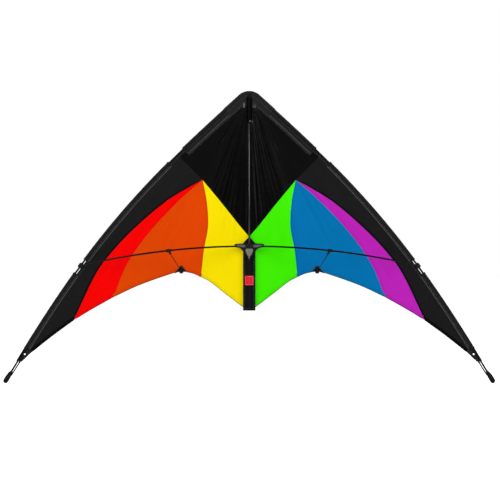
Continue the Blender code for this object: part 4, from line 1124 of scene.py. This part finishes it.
def moulded_copy(node, name, voxel):
    """The CAD fitting with its edges rounded as they leave the mould."""
    mesh = frame["nodes"][node].data.copy()
    made = bpy.data.objects.new(name, mesh)
    bpy.context.scene.collection.objects.link(made)
    soften(made, voxel, 4)
    made.data.materials.clear()
    made.data.materials.append(finish_of("rubber"))
    return made


def connector(side):
    made = moulded_copy(side + "_edge_connector", side + "_connector_moulding", 0.00042)
    place(made, side + "_wing", [side + "_edge_connector"])


def foot_patch(side):
    """A triangle of black webbing, folded round the trailing edge under the stand-off's foot."""
    foot = np.array(FOOT_UZ)
    left = straight(foot + (-0.0018, 0.0150), foot + (-0.0158, -0.0022), 14)
    right = straight(foot + (0.0024, 0.0150), foot + (0.0190, -0.0062), 14)
    columns = 14
    t = np.linspace(0, 1, columns)
    bottom = straight(left[-1], right[-1], columns)
    bottom[:, 1] += 0.0034 * np.sin(math.pi * t)
    top = straight(left[0], right[0], columns)
    grid = coons(left, right, top, bottom)
    made = cloth(side + "_foot_reinforcement", grid, side, "webbing", -0.0010, 0.0022)
    place(made, side + "_wing", [side + "_foot_patch"])
    for line in (left, right):
        inset = line + (foot + (0, 0.004) - line) * 0.16
        for face, off in ((FRONT, 0.0012), (BACK, 0.0024)):
            sew(inset, side, "grey thread", face, off)


def centre_fitting():
    """The moulded T: two arms that take the cross rods, webs below them and a leg that grips the spine."""
    tips = bow_points("right")
    along = np.array([p[:] for p in tips])
    stations = [  # distance from the spine, height above and below the rod's line, half-depth
        (0.0388, 0.0040, 0.0014, 0.0024), (0.0376, 0.0060, 0.0024, 0.0029), (0.0350, 0.0068, 0.0030, 0.0033),
        (0.0300, 0.0070, 0.0038, 0.0038), (0.0240, 0.0071, 0.0050, 0.0043), (0.0180, 0.0072, 0.0068, 0.0047),
        (0.0120, 0.0072, 0.0092, 0.0050), (0.0060, 0.0072, 0.0110, 0.0053), (0.0, 0.0072, 0.0118, 0.0054),
    ]
    rings = []
    for sign in (-1, 1):
        for x, above, below, deep in stations if sign < 0 else stations[-2::-1]:
            z = float(np.interp(x, along[:, 0], along[:, 2]))
            y = float(np.interp(x, along[:, 0], along[:, 1])) if x > 0.0163 else 0.0065 - 0.0007 * (1 - x / 0.0163)
            ring_points = []
            for k in range(28):
                a = 2 * math.pi * k / 28
                c, s = math.cos(a), math.sin(a)
                tall = above if s > 0 else below
                soft = 0.72
                ring_points.append(Vector((sign * x, y + deep * math.copysign(abs(c) ** soft, c),
                                           z + tall * math.copysign(abs(s) ** soft, s))))
            rings.append(ring_points)
    verts, faces = loft(rings)
    leg = [(-0.0020, 0.0100, 0.0050), (-0.0070, 0.0106, 0.0054), (-0.0130, 0.0094, 0.0054), (-0.0190, 0.0076, 0.0053),
           (-0.0250, 0.0060, 0.0052), (-0.0290, 0.0052, 0.0050), (-0.0296, 0.0043, 0.0044), (-0.0385, 0.0041, 0.0042),
           (-0.0390, 0.0037, 0.0038)]
    rings = []
    for z, wide, deep in leg:
        points = []
        for k in range(28):
            a = 2 * math.pi * k / 28
            c, s = math.cos(a), math.sin(a)
            points.append(Vector((wide * math.copysign(abs(c) ** 0.8, c),
                                  0.0058 + deep * math.copysign(abs(s) ** 0.8, s), z)))
        rings.append(points)
    more, more_faces = loft(rings)
    base = len(verts)
    verts += more
    faces += [tuple(base + k for k in face) for face in more_faces]
    # Webs that brace the arms against the leg.
    for sign in (-1, 1):
        outline = [(0.004, 0.002), (0.030, -0.0010), (0.0225, -0.0065), (0.0175, -0.0120),
                   (0.0145, -0.0185), (0.006, -0.026)]
        base = len(verts)
        for y in (0.0070, 0.0100):
            verts += [Vector((sign * x, y, z)) for x, z in outline]
        n = len(outline)
        faces += [tuple(base + k for k in range(n)), tuple(base + n + k for k in range(n))]
        faces += [(base + k, base + (k + 1) % n, base + n + (k + 1) % n, base + n + k) for k in range(n)]
    body = make("centre_fitting_moulding", verts, faces, "rubber")
    soften(body, 0.00050, 3)
    # A slot down the front of the head shows the spine.
    slot_verts, slot_faces = loft([
        [Vector((x, y, z)) for x, y in ((-0.0014, -0.004), (0.0014, -0.004), (0.0014, 0.0026), (-0.0014, 0.0026))]
        for z in (-0.0068, 0.0150)
    ])
    cutter = make("slot_cutter", slot_verts, slot_faces, "rubber")
    groove = body.modifiers.new("slot", "BOOLEAN")
    groove.operation = "DIFFERENCE"
    groove.object = cutter
    groove.solver = "EXACT"
    apply_modifiers(body)
    bpy.data.objects.remove(cutter, do_unlink=True)
    body.data.materials.clear()
    body.data.materials.append(finish_of("rubber"))
    split = 0.0062
    pieces = {
        "centre_fitting_body": [((-split, 0, 0), (-1, 0, 0)), ((split, 0, 0), (1, 0, 0))],
        "left_fitting_socket": [((-split, 0, 0), (1, 0, 0))],
        "right_fitting_socket": [((split, 0, 0), (-1, 0, 0))],
    }
    for name, planes in pieces.items():
        work = bmesh.new()
        work.from_mesh(body.data)
        for point, normal in planes:
            cut = bmesh.ops.bisect_plane(work, geom=work.verts[:] + work.edges[:] + work.faces[:], plane_co=point,
                                         plane_no=normal, clear_outer=True)
            rim = [e for e in cut["geom_cut"] if isinstance(e, bmesh.types.BMEdge)]
            bmesh.ops.triangle_fill(work, use_beauty=True, edges=rim)
        bmesh.ops.recalc_face_normals(work, faces=work.faces)
        mesh = bpy.data.meshes.new(name)
        work.to_mesh(mesh)
        work.free()
        mesh.shade_smooth()
        mesh.set_sharp_from_angle(angle=math.radians(50))
        mesh.materials.append(finish_of("rubber"))
        made = bpy.data.objects.new(name, mesh)
        bpy.context.scene.collection.objects.link(made)
        if name == "centre_fitting_body":
            place(made, "centre", ["centre_fitting"])
        else:
            side = name.split("_")[0]
            bend(made, [side + "_fitting_arm"])
    bpy.data.objects.remove(body, do_unlink=True)
    # A facet on the front of each arm, coloured grey-violet: a painted highlight, with a little more gloss than the
    # rubber.
    for side in SIDES:
        facet = []
        for x, tall, centre_z in ((0.0105, 0.0008, 0.0002), (0.0120, 0.0030, 0.0002), (0.0170, 0.0038, 0.0004),
                                  (0.0230, 0.0034, 0.0010), (0.0290, 0.0026, 0.0016), (0.0335, 0.0016, 0.0022),
                                  (0.0352, 0.0006, 0.0025)):
            deep = float(np.interp(x, [s[0] for s in stations[::-1]], [s[3] for s in stations[::-1]]))
            y = float(np.interp(x, along[:, 0], along[:, 1])) if x > 0.0163 else 0.0065 - 0.0007 * (1 - x / 0.0163)
            z = float(np.interp(x, along[:, 0], along[:, 2])) + centre_z
            facet.append([Vector((SIGN[side] * x, y - deep + 0.0003 + 0.0010 * math.sin(a), z + tall * math.cos(a)))
                          for a in np.linspace(0, 2 * math.pi, 20, endpoint=False)])
        made = make(side + "_fitting_facet", *loft(facet), "facet")
        bend(made, [])
    # The raised shield on the leg's front, in a pale grey that is a painted highlight, and the pin that locks the
    # spine.
    shield = [(-0.0072, 0.0086), (-0.0085, 0.0098), (-0.0130, 0.0098), (-0.0175, 0.0082),
              (-0.0220, 0.0058), (-0.0262, 0.0034)]
    rings = []
    for z, wide in [(-0.0066, 0.0070)] + shield + [(-0.0284, 0.0012)]:
        points = []
        for k in range(24):
            a = 2 * math.pi * k / 24
            points.append(Vector((wide * math.cos(a), 0.0010 + 0.0017 * math.sin(a) * (wide / 0.0098) ** 0.4, z)))
        rings.append(points)
    made = make("fitting_shield", *loft(rings), "boss")
    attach(made, "centre")
    made = turned("fitting_pin", (-0.0006, 0.0022, -0.0306), (0, -1, 0),
                  [(0.0, 0.0010), (0.0004, 0.0013), (0.0012, 0.0013), (0.0018, 0.0009), (0.0020, 0.0003)], "pin", 20)
    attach(made, "centre")


# ---- wing tips -----------------------------------------------------------------------------------


def tip(side):
    sign = SIGN[side]
    wing = side + "_wing"
    # The tab: webbing behind the spar's end, folded at its own end, with a hole for the eyelet.
    trailing_s, trailing_d = edge_coordinates(smooth_line(TRAILING_TIP, 120))
    start, end = s_at_height(TAB_START_Z), s_at_height(SAIL_END_Z)
    s = np.linspace(start, end, 16)
    inner_d = np.interp(s, trailing_s, trailing_d)
    flare = 0.0024  # how much wider the tab's end is than the sail
    inset = 0.0006  # from the leading edge to the tab's spar side
    half_thick = 0.0006
    mid = FOLD_Y + sizes().spar + 0.0012
    columns = np.linspace(0, 1, 12)
    # The tab's end is cut level, so its spar side is the longer one.
    longer = 0.0010 + 0.0058 * (1 - columns)
    stations = start + (end + longer - start) * np.linspace(0, 1, 16)[:, None]
    widths = [np.interp(stations[:, k], trailing_s, trailing_d) + flare * smooth_step(start, end, stations[:, k])
              for k in range(len(columns))]
    grid = np.stack([edge_offset(stations[:, k], inset + (widths[k] - inset) * share)
                     for k, share in enumerate(columns)], axis=1)
    fold = 0.0003 * smooth_step(end - 0.006, end - 0.005, stations)
    front = np.stack([grid[..., 0] * sign, mid - half_thick - fold + 0 * grid[..., 0], grid[..., 1]], axis=-1)
    back = np.stack([grid[..., 0] * sign, mid + half_thick + fold + 0 * grid[..., 0], grid[..., 1]], axis=-1)
    made = make(side + "_tip_webbing", *shell(front, back), "webbing")
    hole = edge_offset(s_at_height(EYELET_Z), EYELET_INWARD)[0]
    centre = Vector((hole[0] * sign, mid, hole[1]))
    punch = turned("punch", centre - Vector((0, 0.005, 0)), (0, 1, 0), [(0, 0.0030), (0.01, 0.0030)], "webbing")
    cut = made.modifiers.new("hole", "BOOLEAN")
    cut.operation = "DIFFERENCE"
    cut.object = punch
    cut.solver = "EXACT"
    apply_modifiers(made)
    bpy.data.objects.remove(punch, do_unlink=True)
    made.data.set_sharp_from_angle(angle=math.radians(40))
    place(made, wing, [side + "_tip_tab"])
    for k in (0.12, 0.88):
        line = edge_offset(s[1:-1], inset + (inner_d[1:-1] - inset) * k)
        lay = np.column_stack([line[:, 0] * sign, np.full(len(line), mid - 0.0012), line[:, 1]])
        sew_at(evenly(lay, count_for(end - start, sizes().pitch)), side, "grey thread")

    # The eyelet: a rolled flange on each face and a barrel between them.
    outline = [(0.0021, -0.0009), (0.0024, -0.0016), (0.0031, -0.0018), (0.0041, -0.0014), (0.0046, -0.0007),
               (0.0046, 0.0007), (0.0041, 0.0014), (0.0031, 0.0018), (0.0024, 0.0016), (0.0021, 0.0009)]
    verts, faces, sides = [], [], 40
    for k in range(sides):
        a = 2 * math.pi * k / sides
        verts += [centre + Vector((r * math.cos(a), y, r * math.sin(a))) for r, y in outline]
    n = len(outline)
    for k in range(sides):
        after = (k + 1) % sides
        for j in range(n):
            i = (j + 1) % n
            faces.append((k * n + j, k * n + i, after * n + i, after * n + j))
    made = make(side + "_eyelet", verts, faces, "eyelet", 60.0)
    place(made, wing, [side + "_tip_eyelet"])

    # The cap on the spar's end: a long vinyl thimble with a tapered neck over the spar, a rolled mouth,
    # a groove for the cord and a round end.
    round_from, round_radius = 0.0226, 0.0065
    slide = joint(side + "_tip_cap_slide")
    away = Vector(slide["axis"]).normalized()
    mouth2 = edge_offset(s_at_height(TIP_CAP_Z), EDGE_TO_SPAR)[0]
    mouth = Vector((mouth2[0] * sign, FOLD_Y, mouth2[1]))
    profile = [(-0.0075, 0.0028), (-0.0074, 0.0032), (-0.0040, 0.0040), (0.0, 0.0053), (0.0008, 0.0063),
               (0.0024, 0.0065), (0.0032, 0.0060), (0.0036, 0.0055), (0.0048, 0.0055), (0.0053, 0.0059),
               (0.0062, 0.0065), (0.0180, 0.0068), (round_from, round_radius)]
    for k in range(1, 8):
        turn = math.pi / 2 * k / 7.5
        profile.append((round_from + 0.0063 * math.sin(turn), round_radius * math.cos(turn)))
    made = turned(side + "_end_cap", mouth, away, profile, "vinyl")
    place(made, side + "_cap", [side + "_tip_cap"])

    # The elastic cord from the tab's end to the cap's groove, knotted at the tab.
    inside = edge_offset(s_at_height(TIP_CAP_Z), EDGE_TO_SPAR + 0.0050)[0]
    finish_at = Vector((inside[0] * sign, FOLD_Y + 0.0004, inside[1])) + away * 0.0034
    begin_uz = edge_offset(end + 0.0014, 0.0104)[0]
    begin_at = Vector((begin_uz[0] * sign, mid, begin_uz[1]))
    middle = (begin_at + finish_at) / 2 + (finish_at - Vector((mouth.x, finish_at.y, mouth.z))).normalized() * 0.0008
    path = []
    for t in np.linspace(0, 1, 18):
        path.append(begin_at * (1 - t) ** 2 + middle * (2 * t * (1 - t)) + finish_at * t**2)
    cord_radius = 0.0018
    cord = tube(side + "_elastic_cord", path, cord_radius, "cord", sides=14, chamfer=0.0, up=(0, 1, 0))
    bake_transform(cord)
    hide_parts(side + "_tip_bungee")
    # An overhand knot: a small loop of the same cord round itself.
    loop = []
    direction = (path[1] - path[0]).normalized()
    across = direction.cross(Vector((0, 1, 0))).normalized()
    up = across.cross(direction)
    for t in np.linspace(0, 2 * math.pi * 2.2, 44):
        spread_out = 0.0018
        loop.append(begin_at + direction * (0.0016 + 0.00055 * t / 2) + across * spread_out * math.cos(t)
                    + up * spread_out * math.sin(t))
    knot = tube(side + "_cord_knot", loop, 0.0009, "cord", sides=10, chamfer=0.0, up=(0, 0, 1))
    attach(knot, wing)


def stitching():
    """Turns the collected stitches into one object for each thread and body."""
    for (where, thread), (verts, faces) in THREADS.items():
        name = where.replace(" ", "_") + "_" + thread.replace(" ", "_")
        made = make(name, verts, faces, thread, 80.0)
        if where == "centre":
            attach(made, "centre")
        elif where.endswith("strip"):
            bend(made, [])
        else:
            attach(made, where + "_wing")


# ---- the stage -----------------------------------------------------------------------------------


def light(name, place_at, aim, size, power, tint="#FFFFFF"):
    data = bpy.data.lights.new(name, "AREA")
    data.shape = "RECTANGLE"
    data.size, data.size_y = size
    data.energy = power
    data.color = linear(tint)
    made = bpy.data.objects.new(name, data)
    made.location = place_at
    made.rotation_euler = (Vector(aim) - Vector(place_at)).to_track_quat("-Z", "Y").to_euler()
    bpy.context.scene.collection.objects.link(made)


def stage():
    scene = bpy.context.scene
    scene.view_settings.view_transform = "Standard"
    scene.view_settings.look = "None"
    low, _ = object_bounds()

    floor_mesh = bpy.data.meshes.new("floor")
    half = 30.0
    level = low.z - 0.001
    corners = [(-half, -half, level), (half, -half, level), (half, half, level), (-half, half, level)]
    floor_mesh.from_pydata(corners, [], [(0, 1, 2, 3)])
    paint, tree, shader, where = surface("floor paint, matt and rolled", 0.9, 0.1)
    shade = add_node(tree, "ShaderNodeTexNoise", (), {"Vector": where, "Scale": 3.0})
    shades(tree, shader, shade.outputs[0], linear("#F4F4F4"), 0.99, 1.0)
    # The paper glows like a lit cyclorama to the eye, but throws little of that light on the kite.
    shader.inputs["Emission Color"].default_value = (1, 1, 1, 1)
    seen_directly = add_node(tree, "ShaderNodeLightPath")
    glow = add_node(tree, "ShaderNodeMath", {"operation": "MULTIPLY_ADD"},
                    {0: seen_directly.outputs["Is Camera Ray"], 1: 0.82, 2: 0.12})
    tree.links.new(glow.outputs[0], shader.inputs["Emission Strength"])
    floor_mesh.materials.append(paint)
    floor = bpy.data.objects.new("floor", floor_mesh)
    scene.collection.objects.link(floor)
    floor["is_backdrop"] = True

    world = bpy.data.worlds.new("studio")
    world.use_nodes = True
    scene.world = world
    tree = world.node_tree
    output = tree.nodes["World Output"]
    seen = tree.nodes["Background"]
    seen.inputs["Color"].default_value = (1, 1, 1, 1)
    seen.inputs["Strength"].default_value = 1.0
    around = add_node(tree, "ShaderNodeBackground", (), {"Color": (1, 1, 1, 1), "Strength": 0.11})
    path = add_node(tree, "ShaderNodeLightPath")
    mix = add_node(tree, "ShaderNodeMixShader", (),
                   {0: path.outputs["Is Camera Ray"], 1: around.outputs[0], 2: seen.outputs[0]})
    tree.links.new(mix.outputs[0], output.inputs["Surface"])

    light("key softbox", (-1.5, -2.9, 1.3), (0, 0, 0.05), (1.1, 1.9), 55.0)
    light("fill softbox", (1.6, -2.9, 0.9), (0, 0, 0), (1.1, 1.9), 44.0)
    light("top softbox", (0.0, -0.5, 2.4), (0, 0.05, 0), (2.2, 0.6), 8.0)
    light("rear softbox", (0.4, 2.6, 1.4), (0, 0, 0), (2.0, 2.0), 34.0)

    camera_data = bpy.data.cameras.new("camera")
    camera = bpy.data.objects.new("camera", camera_data)
    scene.collection.objects.link(camera)
    distance = 8.0
    picture_width = 1.3145
    camera_data.sensor_width = 36.0
    camera_data.lens = 36.0 * (distance + FOLD_Y) / picture_width
    camera_data.clip_end = 100.0
    camera.location = (0.0020, -distance, -0.0100)
    camera.rotation_euler = (math.radians(90), 0, 0)
    scene.camera = camera


# ---- the add-on ----------------------------------------------------------------------------------


class KITE_OT_sail(bpy.types.Operator):
    """Cut the sail's panels and stretch them over the frame"""

    bl_idname = "kite.sail"
    bl_label = "Sail panels"

    def execute(self, context):
        for side in SIDES:
            sail(side)
        return {"FINISHED"}


class KITE_OT_seams(bpy.types.Operator):
    """Sew the seams and fold the trailing edge's hems"""

    bl_idname = "kite.seams"
    bl_label = "Seams and hems"

    def execute(self, context):
        for side in SIDES:
            seams(side)
        return {"FINISHED"}


class KITE_OT_sleeves(bpy.types.Operator):
    """Fold the leading-edge sleeves round the spars"""

    bl_idname = "kite.sleeves"
    bl_label = "Sleeves"

    def execute(self, context):
        for side in SIDES:
            sleeves(side)
        return {"FINISHED"}


class KITE_OT_nose(bpy.types.Operator):
    """Make the nose patch, its bar tacks and the spine's pocket"""

    bl_idname = "kite.nose"
    bl_label = "Nose"

    def execute(self, context):
        spine_pocket()
        for side in SIDES:
            nose(side)
            bar_tacks(side)
        return {"FINISHED"}


class KITE_OT_strip(bpy.types.Operator):
    """Make the reinforcing strip at the spine's foot and its label"""

    bl_idname = "kite.strip"
    bl_label = "Strip and label"

    def execute(self, context):
        for side in SIDES:
            tail_strip(side)
            label(side)
        return {"FINISHED"}


class KITE_OT_rods(bpy.types.Operator):
    """Make the spine, the spars and the cross rods"""

    bl_idname = "kite.rods"
    bl_label = "Rods"

    def execute(self, context):
        spine()
        for side in SIDES:
            spars(side)
            cross_rod(side)
        return {"FINISHED"}


class KITE_OT_fittings(bpy.types.Operator):
    """Mould the centre fitting, the leading-edge fittings and the stand-offs"""

    bl_idname = "kite.fittings"
    bl_label = "Fittings"

    def execute(self, context):
        centre_fitting()
        for side in SIDES:
            connector(side)
            standoff(side)
            foot_patch(side)
        return {"FINISHED"}


class KITE_OT_tips(bpy.types.Operator):
    """Make the wing tips: tab, eyelet, cap and elastic cord"""

    bl_idname = "kite.tips"
    bl_label = "Wing tips"

    def execute(self, context):
        for side in SIDES:
            tip(side)
        return {"FINISHED"}


class KITE_OT_stitching(bpy.types.Operator):
    """Lay all the stitches that the other steps asked for"""

    bl_idname = "kite.stitching"
    bl_label = "Stitching"

    def execute(self, context):
        stitching()
        return {"FINISHED"}


class KITE_OT_stage(bpy.types.Operator):
    """Set up the floor, the lights and the camera"""

    bl_idname = "kite.stage"
    bl_label = "Stage"

    def execute(self, context):
        stage()
        return {"FINISHED"}


OPERATORS = (
    KITE_OT_sail, KITE_OT_seams, KITE_OT_sleeves, KITE_OT_nose, KITE_OT_strip, KITE_OT_rods, KITE_OT_fittings,
    KITE_OT_tips, KITE_OT_stitching, KITE_OT_stage,
)


class KITE_PT_panel(bpy.types.Panel):
    """Lists the kite's sizes, colours and steps"""

    bl_idname = "KITE_PT_panel"
    bl_label = "Delta kite"
    bl_space_type = "VIEW_3D"
    bl_region_type = "UI"
    bl_category = "Kite"

    def draw(self, context):
        column = self.layout.column()
        for group in (context.scene.kite_sizes, context.scene.kite_colours):
            for name in type(group).__annotations__:
                column.prop(group, name)
        for operator in OPERATORS:
            column.operator(operator.bl_idname)


CLASSES = (KiteColours, KiteSizes, *OPERATORS, KITE_PT_panel)


def register():
    for made in CLASSES:
        bpy.utils.register_class(made)
    bpy.types.Scene.kite_colours = bpy.props.PointerProperty(type=KiteColours)
    bpy.types.Scene.kite_sizes = bpy.props.PointerProperty(type=KiteSizes)


def unregister():
    del bpy.types.Scene.kite_sizes
    del bpy.types.Scene.kite_colours
    for made in reversed(CLASSES):
        bpy.utils.unregister_class(made)


def main():
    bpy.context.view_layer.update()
    register()
    for operator in OPERATORS:
        group, name = operator.bl_idname.split(".")
        getattr(getattr(bpy.ops, group), name)()


if __name__ == "__main__":
    main()
